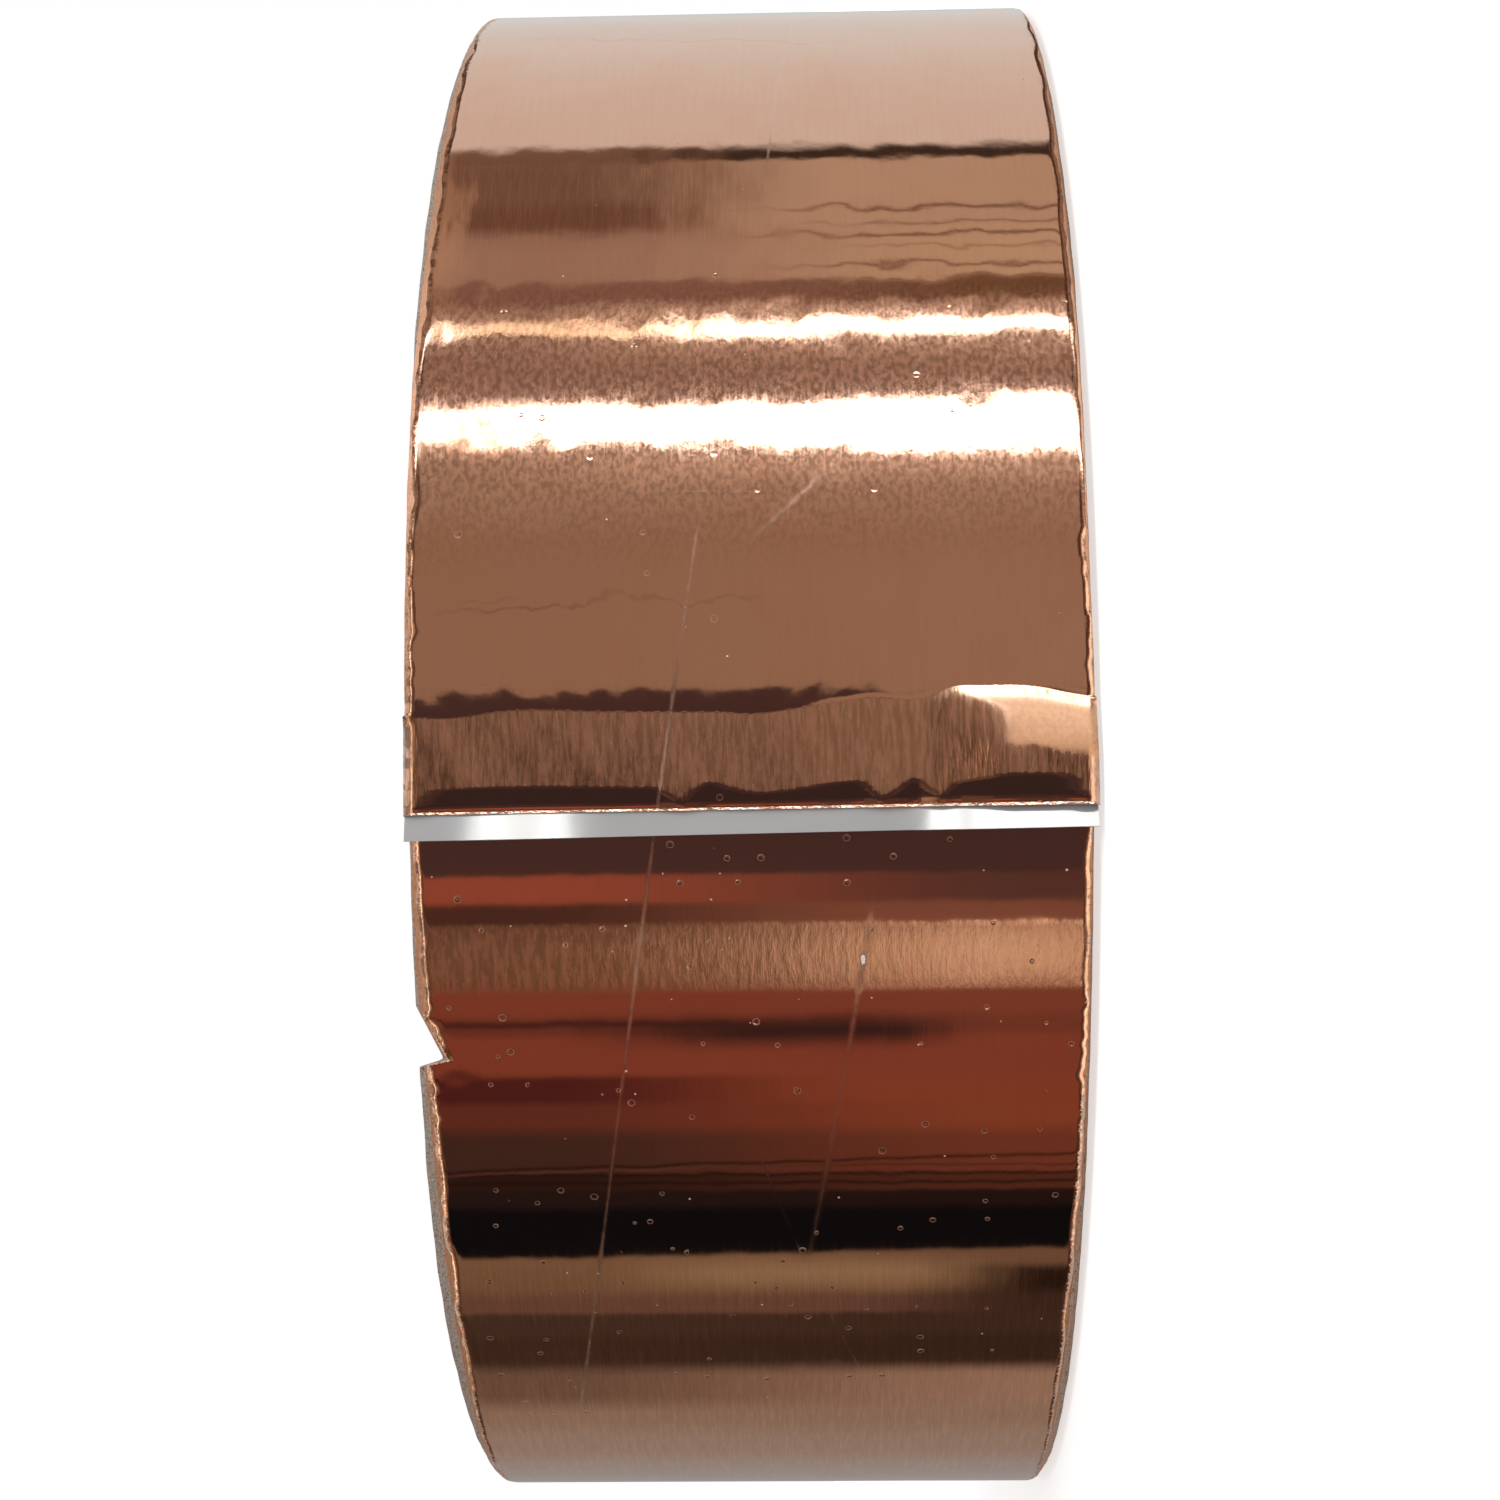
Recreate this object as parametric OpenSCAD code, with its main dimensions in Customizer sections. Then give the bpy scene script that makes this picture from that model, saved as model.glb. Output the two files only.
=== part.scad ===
// Roll of adhesive-backed copper tape, lying on its end.
// The roll's axis is Z and the origin is the middle of the core's bore. The free end of the tape
// lies over the front of the roll, which is -Y. Angles round the roll count from the front
// towards +X, which is the way that the tape winds inwards from its free end.

/* [Tape] */
// Width of the tape
tape_w = 50; // [20:1:100]
// Full turns of tape wound on the core
turns = 140; // [60:5:220]
// Thickness of the copper foil
foil_t = 0.05; // [0.03:0.01:0.1]
// Thickness of the adhesive under the foil
adhesive_t = 0.04; // [0.02:0.01:0.06]
// Thickness of the paper liner under the adhesive
liner_t = 0.12; // [0.08:0.01:0.16]
// Looseness left between one turn and the next
slack_t = 0.005; // [0.001:0.001:0.02]

/* [Core] */
// Bore of the core, which takes a three-inch hub
core_bore = 76.2; // [50:0.1:90]
// Wall of the core
core_wall = 4; // [2:0.5:8]
// How far the core stands out past the tape at each end
core_proud = 0.4; // [0.4:0.1:2]

/* [Ends of the winding] */
// Radius to which the upper edges of the outer turns are rolled over
top_roll = 1.4; // [0.4:0.1:2]
// Radius to which the lower edges of the outer turns are rolled over
bottom_roll = 0.8; // [0.4:0.1:2]
// Turns in each band that was wound at one height
band_turns = 5; // [2:1:10]
// Largest wander of a band up or down
wander = 0.25; // [0.05:0.01:0.35]
// Turn of the wander's phase from one band to the next, in degrees
wander_phase = 137; // [20:1:170]

/* [Free end] */
// Angle at which the free end leaves the roll
end_at = 3; // [-20:1:20]
// Angle by which the crease lifts the free end off the turn below
end_kink = 15; // [6:1:20]
// Radius to which the lifted foil is bent
end_r = 23.5; // [15:0.5:40]
// Length of lifted foil
end_l = 8; // [4:0.5:12]
// Length of liner that shows past the cut foil
tail_l = 2.2; // [0.5:0.1:4]

/* [Nick in the upper edge] */
// Angle at which the nick is deepest
nick_at = -18.5; // [-90:0.5:90]
// Depth of the nick into the tape's edge, at the outermost turn
nick_d = 2.3; // [0.4:0.1:2.5]
// How far the nick runs in towards the core before it dies out
nick_reach = 15; // [4:1:20]
// Length of the nick's long slope round the rim
nick_slope_l = 4; // [1:0.1:6]
// Length of the nick's short slope round the rim
nick_step_l = 0.4; // [0.2:0.1:1]
// Angle between the way that the knock ran in and the roll's radius
nick_lean = 27; // [-40:1:40]

/* [Hidden] */
$fn = 180;

kraft = [0.66, 0.53, 0.38];
copper = [0.85, 0.53, 0.40];
liner_white = [0.88, 0.90, 0.92];

tape_t = foil_t + adhesive_t;                // foil and adhesive, which stay together
turn_t = tape_t + liner_t + slack_t;         // what one turn adds to the radius
core_l = tape_w + 2 * core_proud;
core_r = core_bore / 2 + core_wall;
roll_r = core_r + turns * turn_t;            // outer radius where the free end leaves the roll

// The bands reach out to where the edges of the outer turns start to roll over.
banded_r = roll_r - max(top_roll, bottom_roll);
bands = ceil((banded_r - core_r) / (band_turns * turn_t));
band_t = (banded_r - core_r) / bands;

// The last turn is a spiral of four quarter arcs. Each arc's centre moves towards the place where
// it meets the next, by the amount that its radius loses, so that the arcs run into each other.
quarter_drop = turn_t / 4;

// Unit vector at an angle from the front of the roll.
function direction(angle) = [sin(angle), -cos(angle)];

function quarter_angle(k) = end_at + 90 * k;
function quarter_r(k) = roll_r - quarter_drop * k;
function quarter_centre(k) =
    k == 0
        ? -quarter_drop / 2 * (direction(quarter_angle(1)) + direction(quarter_angle(2)))
        : quarter_centre(k - 1) + quarter_drop * direction(quarter_angle(k));

// Height at which a band of turns was wound, from the middle of the core. The wander also swells
// and shrinks slowly, by its own phase.
swell_phase = 17;
function band_shift(i) = wander * sin(wander_phase * i) * cos(swell_phase * i);

// The lifted end is an arc from the crease, bent tighter than the roll.
crease = quarter_centre(0) + roll_r * direction(end_at);
crease_angle = end_at + end_kink;
end_centre = crease - end_r * direction(crease_angle);

// Angle that a length takes up along the lifted end.
function end_angle(l) = l / end_r * 180 / PI;

// Profile of a rolled edge, from the rim to the end face, for the upper side or the lower (-1).
// It is a little larger than its radius at the last turn, and so runs out past it.
roll_overrun = 1.3;
function rolled_edge(roll, side) =
    let (r = roll_overrun * roll, centre = [roll_r - roll, tape_w / 2 - r])
    [for (a = [90:-15:0]) [centre.x + r * sin(a), side * (centre.y + r * cos(a))]];

function reversed(list) = [for (i = [len(list) - 1:-1:0]) list[i]];

// Steps of one end of the winding, from the core outwards.
function banded_end(side) = [
    for (i = [0:bands - 1]) for (edge = [i, i + 1])
        [core_r + edge * band_t, side * tape_w / 2 + band_shift(i)]
];

// Half of a section through the winding. Its ends step up and down from band to band, and the
// edges of the outer turns are rolled over.
module winding_section() {
    polygon(concat(
        banded_end(-1),
        reversed(rolled_edge(bottom_roll, -1)),
        rolled_edge(top_roll, 1),
        reversed(banded_end(1))
    ));
}

// Outline of the winding seen from above. It winds inwards by one turn from the free end, round
// the roll, to the turn below it.
module spiral_outline() {
    for (k = [0:3])
        translate(quarter_centre(k))
            rotate(quarter_angle(k) - 90)
                intersection() {
                    circle(r = quarter_r(k));
                    square(2 * roll_r);
                }
}

// Outline of a layer in the lifted end, from one depth below its surface to another, as long as
// it is from the crease. It starts a little inside the roll.
module end_outline(top, bottom, l) {
    root_angle = 1.5;
    far = 2 * end_r;
    translate(end_centre) intersection() {
        difference() {
            circle(r = end_r - top);
            circle(r = end_r - bottom);
        }
        polygon([
            [0, 0],
            far * direction(crease_angle - end_angle(l)),
            far * direction(crease_angle + root_angle),
        ]);
    }
}

// Foil and adhesive of the lifted end.
module lifted_foil() {
    linear_extrude(tape_w, center = true) end_outline(0, tape_t, end_l);
}

// A knock in the upper edge: a V across the rim that gets shallower towards the core.
module nick() {
    past = 3;                                // how far the cutter runs past the tape, times its depth
    tilt = atan(nick_d / nick_reach);
    translate(roll_r * direction(nick_at))
        rotate(nick_at + nick_lean)
            translate([0, nick_reach, tape_w / 2])
                rotate([90 + tilt, 0, 0])
                    linear_extrude(nick_reach * past)
                        polygon([[0, 0], [nick_slope_l, nick_d] * past, [-nick_step_l, nick_d] * past]);
}

module core() {
    color(kraft)
        difference() {
            cylinder(r = core_r, h = core_l, center = true);
            cylinder(r = core_bore / 2, h = core_l + 1, center = true);
        }
}

module copper_tape() {
    color(copper)
        difference() {
            union() {
                intersection() {
                    rotate_extrude() winding_section();
                    linear_extrude(2 * tape_w, center = true) spiral_outline();
                }
                lifted_foil();
            }
            nick();
        }
}

module release_liner() {
    color(liner_white)
        linear_extrude(tape_w, center = true)
            difference() {
                end_outline(tape_t, tape_t + liner_t, end_l + tail_l);
                spiral_outline();
            }
}

core();
copper_tape();
release_liner();
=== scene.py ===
"""Looks of a roll of copper tape, lying on its end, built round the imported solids.

Lengths in the dataclasses are in millimetres and angles in degrees, counted round the roll from the
front (-Y) towards +X, which is the way that the tape winds inwards. Meshes are written in metres.
"""
import logging
import math
from dataclasses import dataclass, field
from enum import Enum
from typing import Any, Callable, Sequence

import bpy
import numpy as np
from mathutils import Matrix, Vector


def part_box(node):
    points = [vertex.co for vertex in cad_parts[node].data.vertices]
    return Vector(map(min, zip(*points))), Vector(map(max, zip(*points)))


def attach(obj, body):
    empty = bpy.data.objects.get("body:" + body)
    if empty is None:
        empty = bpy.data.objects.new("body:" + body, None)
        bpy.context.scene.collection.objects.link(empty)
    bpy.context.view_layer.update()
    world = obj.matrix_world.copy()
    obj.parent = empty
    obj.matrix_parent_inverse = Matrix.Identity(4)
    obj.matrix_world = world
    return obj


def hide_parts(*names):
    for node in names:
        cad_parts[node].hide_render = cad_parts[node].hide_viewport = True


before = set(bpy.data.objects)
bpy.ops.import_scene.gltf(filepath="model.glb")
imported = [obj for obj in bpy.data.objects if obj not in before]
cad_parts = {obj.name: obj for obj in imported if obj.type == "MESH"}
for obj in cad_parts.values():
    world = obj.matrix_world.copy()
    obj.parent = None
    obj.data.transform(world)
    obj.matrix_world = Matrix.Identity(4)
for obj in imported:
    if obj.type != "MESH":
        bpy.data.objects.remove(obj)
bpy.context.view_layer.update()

MM = 0.001
LOG = logging.getLogger("copper_tape_roll")

Colour = tuple[float, float, float]
Place = tuple[float, float, float]
Span = tuple[float, float]
Zone = tuple[float, float, float, float]
Pairs = tuple[Span, ...]
Stops = tuple[tuple[float, Colour], ...]
WHITE: Colour = (1.0, 1.0, 1.0)


class Side(Enum):
    """The end of the roll that an edge of the tape faces."""

    UPPER = 1
    LOWER = -1


# Shader sums.


def operator(operation: str, swapped: bool = False) -> Callable[["Signal", Any], "Signal"]:
    """Makes a method of Signal that puts a Math node on itself and another value.

    Args:
        operation: The Math node's operation.
        swapped: Whether the other value comes first, as in 1 - mask.

    Returns:
        The method.
    """
    def method(self: "Signal", other: Any) -> "Signal":
        """The Math node's result."""
        return self._math(operation, *((other, self) if swapped else (self, other)))
    return method


class Signal:
    """A node's output. On a number, Python's operators build Math nodes."""

    def __init__(self, graph: "Graph", socket: bpy.types.NodeSocket) -> None:
        """Wraps an output socket of a graph."""
        self.graph = graph
        self.socket = socket

    def _math(self, operation: str, *values: Any) -> "Signal":
        """A Math node of that operation on these values."""
        return self.graph.add("ShaderNodeMath", {"operation": operation}, dict(enumerate(values)))

    __add__ = __radd__ = operator("ADD")
    __sub__, __rsub__ = operator("SUBTRACT"), operator("SUBTRACT", True)
    __mul__ = __rmul__ = operator("MULTIPLY")
    __truediv__, __rtruediv__ = operator("DIVIDE"), operator("DIVIDE", True)
    __pow__, __rpow__ = operator("POWER"), operator("POWER", True)
    least, greatest = operator("MINIMUM"), operator("MAXIMUM")

    def __neg__(self) -> "Signal":
        """-self."""
        return self * -1.0

    def __abs__(self) -> "Signal":
        """Size without sign."""
        return self._math("ABSOLUTE", self)

    def rise(self, start: Any, end: Any, low: float = 0.0, high: float = 1.0) -> "Signal":
        """Goes smoothly from low to high as self goes from start to end.

        Args:
            start: Value at which it starts to leave low.
            end: Value at which it reaches high.
            low: Result below start.
            high: Result above end.

        Returns:
            The smooth step.
        """
        return self.graph.add(
            "ShaderNodeMapRange", {"interpolation_type": "SMOOTHSTEP"},
            {"Value": self, "From Min": start, "From Max": end, "To Min": low, "To Max": high})

    def fall(self, start: Any, end: Any) -> "Signal":
        """Goes smoothly from 1 to 0 as self goes from start to end."""
        return self.rise(start, end, 1.0, 0.0)

    def within(self, start: Any, full: Any, fade: Any, end: Any) -> "Signal":
        """1 from full to fade, smoothly to 0 at start and at end."""
        return self.rise(start, full) * self.fall(fade, end)

    def line(self, centre: Any, half_width: Any) -> "Signal":
        """1 where self is at centre, smoothly to 0 at half_width from it."""
        return abs(self - centre).fall(0.0, half_width)


def from_axis(x: Signal, y: Signal) -> Signal:
    """Distance from the roll's axis."""
    return (x * x + y * y) ** 0.5


class Graph:
    """Builds the nodes of one material or world."""

    def __init__(self, tree: bpy.types.NodeTree) -> None:
        """Empties a node tree and takes it over."""
        tree.nodes.clear()
        self.tree = tree

    def add(self, kind: str, settings: dict[str, Any] | None = None,
            sockets: dict[Any, Any] | None = None, output: Any = 0) -> Signal:
        """Adds one node.

        Args:
            kind: The node's type name.
            settings: Its properties, set first. A ramp's "stops" are (place, colour) pairs.
            sockets: Values or Signals for its inputs, by name or number.
            output: The output wanted, by name or number.

        Returns:
            The output as a Signal.
        """
        node = self.tree.nodes.new(kind)
        for key, value in (settings or {}).items():
            if key == "stops":
                self._set_stops(node.color_ramp, value)
            else:
                setattr(node, key, value)
        for key, value in (sockets or {}).items():
            self.feed(node.inputs[key], value)
        return Signal(self, node.outputs[output])

    @staticmethod
    def _set_stops(ramp: bpy.types.ColorRamp, stops: Stops) -> None:
        """Gives a colour ramp its stops."""
        while len(ramp.elements) < len(stops):
            ramp.elements.new(0.5)
        for element, (place, colour) in zip(ramp.elements, stops):
            element.position = place
            element.color = (*colour, 1.0)

    def feed(self, socket: bpy.types.NodeSocket, value: Any) -> None:
        """Links a Signal to an input, or sets the input's own value."""
        if isinstance(value, Signal):
            self.tree.links.new(value.socket, socket)
        elif isinstance(value, tuple) and socket.type == "RGBA":
            socket.default_value = (*value[:3], 1.0)
        else:
            socket.default_value = value

    def blend(self, factor: Any, first: Any, second: Any) -> Signal:
        """Mixes two colours.

        Args:
            factor: 0 for the first, 1 for the second.
            first: Colour or Signal.
            second: Colour or Signal.

        Returns:
            The mixed colour.
        """
        return self.add("ShaderNodeMix", {"data_type": "RGBA"},
                        {0: factor, 6: first, 7: second}, 2)

    def vector(self, x: Any, y: Any = 0.0, z: Any = 0.0) -> Signal:
        """A vector of three values."""
        return self.add("ShaderNodeCombineXYZ", {}, {0: x, 1: y, 2: z})

    def split(self, vector: Signal) -> tuple[Signal, Signal, Signal]:
        """The three values of a vector."""
        x = self.add("ShaderNodeSeparateXYZ", {}, {0: vector})
        return x, *(Signal(self, output) for output in x.socket.node.outputs[1:])

    def noise(self, place: Sequence[Any], detail: float, roughness: float) -> Signal:
        """Soft noise from 0 to 1, at a place of one to three values."""
        return self.add("ShaderNodeTexNoise", {}, {"Vector": self.vector(*place), "Scale": 1.0,
                                                   "Detail": detail, "Roughness": roughness})

    def cells(self, place: Signal, output: str = "Distance") -> Signal:
        """Distance from the nearest of scattered points, or that point's own random colour."""
        return self.add("ShaderNodeTexVoronoi", {"voronoi_dimensions": "2D"},
                        {"Vector": place, "Scale": 1.0}, output)

    def uv(self) -> tuple[Signal, Signal]:
        """The two values of the piece's own UV map."""
        return self.split(self.add("ShaderNodeUVMap", {"uv_map": "tape"}))[:2]

    def tape_place(self) -> tuple[Signal, Signal]:
        """Place along and across the tape in millimetres, which the UV map holds in metres."""
        along, across = self.uv()
        return along * (1 / MM), across * (1 / MM)

    def object_place(self) -> tuple[Signal, Signal, Signal]:
        """Object coordinates in millimetres."""
        x, y, z = self.split(self.add("ShaderNodeTexCoord", {}, {}, "Object"))
        return x * (1 / MM), y * (1 / MM), z * (1 / MM)

    def attribute(self, name: str) -> Signal:
        """A number that the piece's mesh holds at each vertex."""
        return self.add("ShaderNodeAttribute", {"attribute_name": name}, {}, "Fac")

    def ramp(self, value: Signal, stops: Stops) -> Signal:
        """Colour of a value, in between the colours at some places."""
        return self.add("ShaderNodeValToRGB", {"stops": stops}, {"Fac": value})

    def round_angle(self, x: Signal, y: Signal) -> Signal:
        """Angle round the roll from the front, in degrees, of a direction or place."""
        return self.add("ShaderNodeMath", {"operation": "ARCTAN2"}, {0: x, 1: -y}) * (180 / math.pi)

    def ray(self, kind: str) -> Signal:
        """1 for the rays of one kind, such as "Is Camera Ray", and 0 for the rest."""
        return self.add("ShaderNodeLightPath", {}, {}, kind)

    def bump(self, height: Signal) -> Signal:
        """Normal of a surface with that height in millimetres."""
        return self.add("ShaderNodeBump", {}, {"Strength": 1.0, "Distance": MM, "Height": height})

    def show(self, shader: Signal, output: str = "ShaderNodeOutputMaterial") -> None:
        """Joins a shader to an output node's surface."""
        self.feed(self.tree.nodes.new(output).inputs["Surface"], shader)

    def principled(self, sockets: dict[str, Any]) -> None:
        """Adds the surface shader and shows it."""
        self.show(self.add("ShaderNodeBsdfPrincipled", {}, sockets))


def new_material(name: str) -> tuple[bpy.types.Material, Graph]:
    """Makes an empty node material.

    Args:
        name: The material's name.

    Returns:
        The material and its graph.
    """
    material = bpy.data.materials.new(name)
    material.use_nodes = True
    return material, Graph(material.node_tree)


# Finishes.


@dataclass(frozen=True)
class Scratch:
    """A straight rub across the foil, from one place round and along the roll to another."""

    angle_a: float
    z_a: float
    angle_b: float
    z_b: float
    width: float
    strength: float


@dataclass(frozen=True)
class Spots:
    """Small round spots, scattered one to a cell, of which a share is there."""

    spacing: float
    least: float
    extra: float
    few: float
    many: float


@dataclass(frozen=True)
class CopperFinish:
    """Bright rolled copper foil with its grain, waves from handling, rubs, bubbles and dust.

    Zones and spans are angles round the roll for the rubbed band and the nick, and for the rest
    they are lengths along the tape from the crease.
    """

    colour: Colour = (0.93, 0.60, 0.46)
    tarnish: Colour = (0.90, 0.53, 0.38)
    dust: Colour = (0.66, 0.53, 0.45)
    # dark_brown: the dark of grime, and the painted shade of the folds and along the rims.
    dark_brown: Colour = (0.22, 0.13, 0.10)
    worn: Colour = (0.60, 0.38, 0.26)
    smutty: Colour = (0.62, 0.375, 0.265)
    # glow and glow_dim: painted glare of the lamps on the raised corner of the lifted foil.
    glow: Colour = (1.00, 0.66, 0.44)
    glow_dim: Colour = (0.82, 0.45, 0.26)
    # bright_rub_and_highlight: pale rubbed copper in the scratches, and a painted highlight on the burr.
    bright_rub_and_highlight: Colour = (0.86, 0.74, 0.67)
    paint: Colour = (0.85, 0.78, 0.74)
    gloss: float = 0.034
    rubbed: Zone = (-14.6, -13.7, -10.6, -10.0)
    dusty_to_nick: Span = (-21.0, -18.0)
    handled: Span = (55.0, 130.0)
    hazy: Zone = (8.0, 17.0, 29.0, 35.0)
    scuffed: Zone = (36.0, 40.0, 45.5, 49.0)
    scuffed_late: Zone = (330.0, 345.0, 404.0, 412.0)
    bubbly: Span = (330.0, 385.0)
    radius: float = 72.2
    spread: float = 1.6
    longest_fade: float = 6.0
    scratches: tuple[Scratch, ...] = (
        Scratch(14.5, 3.3, -51.0, 15.6, 0.16, 0.72),
        Scratch(-8.8, -8.9, -32.5, -4.0, 0.24, 0.55),
        Scratch(72.0, -4.5, 36.0, -1.2, 0.12, 0.35),
        Scratch(16.4, -5.9, 12.2, -0.4, 0.24, 0.45),
        Scratch(15.2, 8.4, 15.1, -2.8, 0.07, 0.30),
        Scratch(-22.0, 1.0, -47.0, -9.0, 0.10, 0.25),
        Scratch(-12.1, -8.05, -12.8, -8.2, 0.20, 1.5),
    )
    folds: tuple[Scratch, ...] = (
        Scratch(7.9, 22.6, 8.7, 9.0, 0.16, 0.60),
        Scratch(8.7, 9.6, 8.5, -1.6, 0.13, 0.40),
        Scratch(8.4, 21.0, 9.0, 16.5, 0.11, 0.32),
        Scratch(60.5, 24.0, 57.0, -9.0, 0.14, 0.45),
    )
    bubbles: Spots = Spots(3.1, 0.12, 0.15, 0.03, 0.62)
    specks: Spots = Spots(1.9, 0.03, 0.05, 0.02, 0.055)

    def _lines(self, scratches: Sequence[Scratch], arc: Signal, z: Signal) -> Signal:
        """Soft lines, each between two points on the foil.

        Args:
            scratches: The lines.
            arc: Place round the roll in millimetres.
            z: Height on the roll.

        Returns:
            The sum of how strongly each line shows.
        """
        total: Any = 0.0
        for scratch in scratches:
            ax, ay = math.radians(scratch.angle_a) * self.radius, scratch.z_a
            bx, by = math.radians(scratch.angle_b) * self.radius, scratch.z_b
            length = math.hypot(bx - ax, by - ay)
            dx, dy = (bx - ax) / length, (by - ay) / length
            off = (arc - ax) * -dy + (z - ay) * dx
            on = (arc - ax) * dx + (z - ay) * dy
            soft = min(self.longest_fade, length / 3)
            line = off.line(0.0, scratch.width * self.spread)
            ends = on.within(-soft / 2, soft, length - soft, length + soft / 2)
            total = line * ends * scratch.strength + total
        return total

    def _spots(self, g: Graph, spots: Spots, along: Signal, across: Signal,
               thick: Signal) -> tuple[Signal, Signal]:
        """Scattered spots.

        Args:
            g: The material's graph.
            spots: Their spacing, radii and shares.
            along: Place along the tape.
            across: Place across the tape.
            thick: 1 where there are many, 0 where there are few.

        Returns:
            Distance outwards from the nearest spot's rim, and 1 where that spot is there.
        """
        place = g.vector(along * (1 / spots.spacing), across * (1 / spots.spacing))
        pick, size, _ = g.split(g.cells(place, "Color"))
        off = g.cells(place) * spots.spacing - (size * spots.extra + spots.least)
        bar = 1.0 - (thick * (spots.many - spots.few) + spots.few)
        return off, pick.rise(bar, bar + 0.02)

    def build(self) -> bpy.types.Material:
        """Builds the material: base colour, metal, roughness and one bump from all its relief.

        Returns:
            The material.
        """
        material, g = new_material("copper_foil_face")
        along, across = g.tape_place()
        x, y, z = g.object_place()
        angle = g.round_angle(x, y)
        arc = angle * math.radians(self.radius)
        rim, shaded, burr = g.attribute("rim"), g.attribute("shaded"), g.attribute("burr")
        upper_side = z.rise(-2.0, 2.0)

        # Zones along and round the tape.
        handled = along.rise(*self.handled, 1.0, 0.28)
        hazy = along.within(*self.hazy)
        bubbly = along.rise(*self.bubbly)
        scuffed = (along.within(*self.scuffed) * z.rise(-8.0, 6.0)
                   + along.within(*self.scuffed_late))
        lifted = along.fall(-0.10, 0.02)
        flap = lifted * (1.0 - shaded)
        rough_zone = flap.greatest(angle.within(*self.rubbed))
        below_nick = angle.fall(*self.dusty_to_nick)

        # Noises: the rolling grain, the torn strokes of the rubbed places, waves and clouds.
        grain = g.noise((along * 0.16, across * 2.6), 3.0, 0.62)
        fine_grain = g.noise((along * 0.40, across * 7.0), 2.0, 0.6)
        long_tears = g.noise((along * 0.34, across * 2.5), 2.5, 0.6)
        short_tears = g.noise((along * 0.55, across * 1.8), 3.0, 0.65)
        tears = long_tears * (lifted * 0.65) + short_tears * (1.0 - lifted * 0.65)
        ragged = z + (tears - 0.5) * 2.4
        # corner: the raised lower corner of the lifted foil, on which the colour paints the lamps' glare.
        corner = (ragged - along.rise(-2.0, -0.5, -18.4, -15.6)).fall(-0.9, 0.5) * flap
        low = along + (tears - 0.5) * 0.9
        corner = corner * low.rise(-5.0, -4.3) * along.fall(-1.5, -0.6)
        patches = g.noise((along * 0.11, across * 0.11), 2.0, 0.55)
        waves = g.noise((along * 0.28, across * 0.36), 0.6, 0.4)
        ripples = g.noise((along * 1.0, across * 0.95), 1.5, 0.5)
        mottle = g.noise((along * 1.6, across * 2.4), 3.0, 0.62).rise(0.36, 0.60)
        cluster = g.noise((along * 0.13, across * 0.16), 1.0, 0.5).rise(0.38, 0.58)

        # Marks: scratches, folds, bubbles under the foil and specks on it.
        worn = g.noise((along * 0.5, across * 0.5), 3.0, 0.7)
        scratch = self._lines(self.scratches, arc, z) * worn.rise(0.15, 0.55)
        folded = self._lines(self.folds, arc + (waves - 0.5) * 2.6 + (ripples - 0.5) * 0.8, z)
        folded = folded * worn.rise(0.30, 0.55)
        bubble_off, bubble = self._spots(g, self.bubbles, along, across,
                                         (bubbly * cluster).greatest(hazy * 0.22))
        # ring: the rim of each bubble, which bare below dulls toward the pale dust colour as a painted
        # highlight.
        ring = bubble_off.line(0.0, 0.05) * bubble
        dome = bubble_off.fall(-0.14, 0.04) * bubble
        speck_off, speck = self._spots(g, self.specks, along, across, bubbly)
        speck = speck_off.fall(-0.03, 0.04) * speck

        # Dust at the rims, broken foil with painted shade along the rims, and where bare metal is left.
        fuzz = g.noise((x * 2.6, y * 2.6, z * 2.6), 3.0, 0.7)
        dusty = ((fuzz - rim * 0.9 + bubbly * 0.12 + below_nick * 0.16).rise(0.50, 0.62)
                 * rim.fall(0.5, 0.9))
        flake = scratch.rise(0.95, 1.15)
        bare = ((1.0 - dusty * 0.8) * (1.0 - speck * 0.85) * (1.0 - ring * 0.25)
                * (1.0 - flake * 0.9))
        # Patches within about 0.35 to 0.75 mm of the edges, stronger on the upper side, darkened toward dark
        # brown: partly broken foil, partly painted shade on the rolled edges.
        rim_breaks_and_shade = (g.noise((x * 1.1, y * 1.1, z * 1.1), 2.0, 0.6).rise(0.46, 0.58)
                  * rim.fall(0.35, 0.75) * (upper_side * 0.6 + 0.25))

        streak = grain.rise(0.40, 0.70) * 0.5 + fine_grain.rise(0.42, 0.72) * 0.5
        roughness = (streak * 0.022 + patches.rise(0.35, 0.75) * 0.008 + self.gloss
                     + hazy * (mottle * 0.022 + streak * 0.030 + 0.012) + scuffed * streak * 0.02
                     + rough_zone * (tears.rise(0.35, 0.7) * 0.07 + 0.09) + corner * 0.28
                     + burr * 0.03 + scratch * 0.30 + folded * 0.2 + (1.0 - bare) * 0.5)

        # Colour, from the metal up to what lies on it, with painted glare, highlights and shade among it.
        tint = (grain.rise(0.35, 0.75) * 0.35 + patches.rise(0.40, 0.75) * 0.40).least(1.0)
        colour = g.blend(tint, self.colour, self.tarnish)
        smut = (hazy * (1.0 - mottle) * 0.80).greatest(scuffed * (1.0 - streak) * 0.70)
        colour = g.blend(smut, colour, self.smutty)
        worn_down = tears.rise(0.39, 0.59, 0.64, 0.0) + flap * tears.rise(0.38, 0.60, 0.16, 0.0)
        colour = g.blend(rough_zone * worn_down, colour, self.worn)
        # Painted glare on the raised corner, brighter towards the crease and in fuzzy patches.
        glow = g.blend(fuzz.rise(0.35, 0.65) * 0.45 + low.rise(-4.6, -1.0) * 0.55,
                       self.glow_dim, self.glow)
        colour = g.blend(corner * 0.85, colour, glow)
        colour = g.blend((scratch * 0.6).least(1.0), colour, self.bright_rub_and_highlight)
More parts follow.
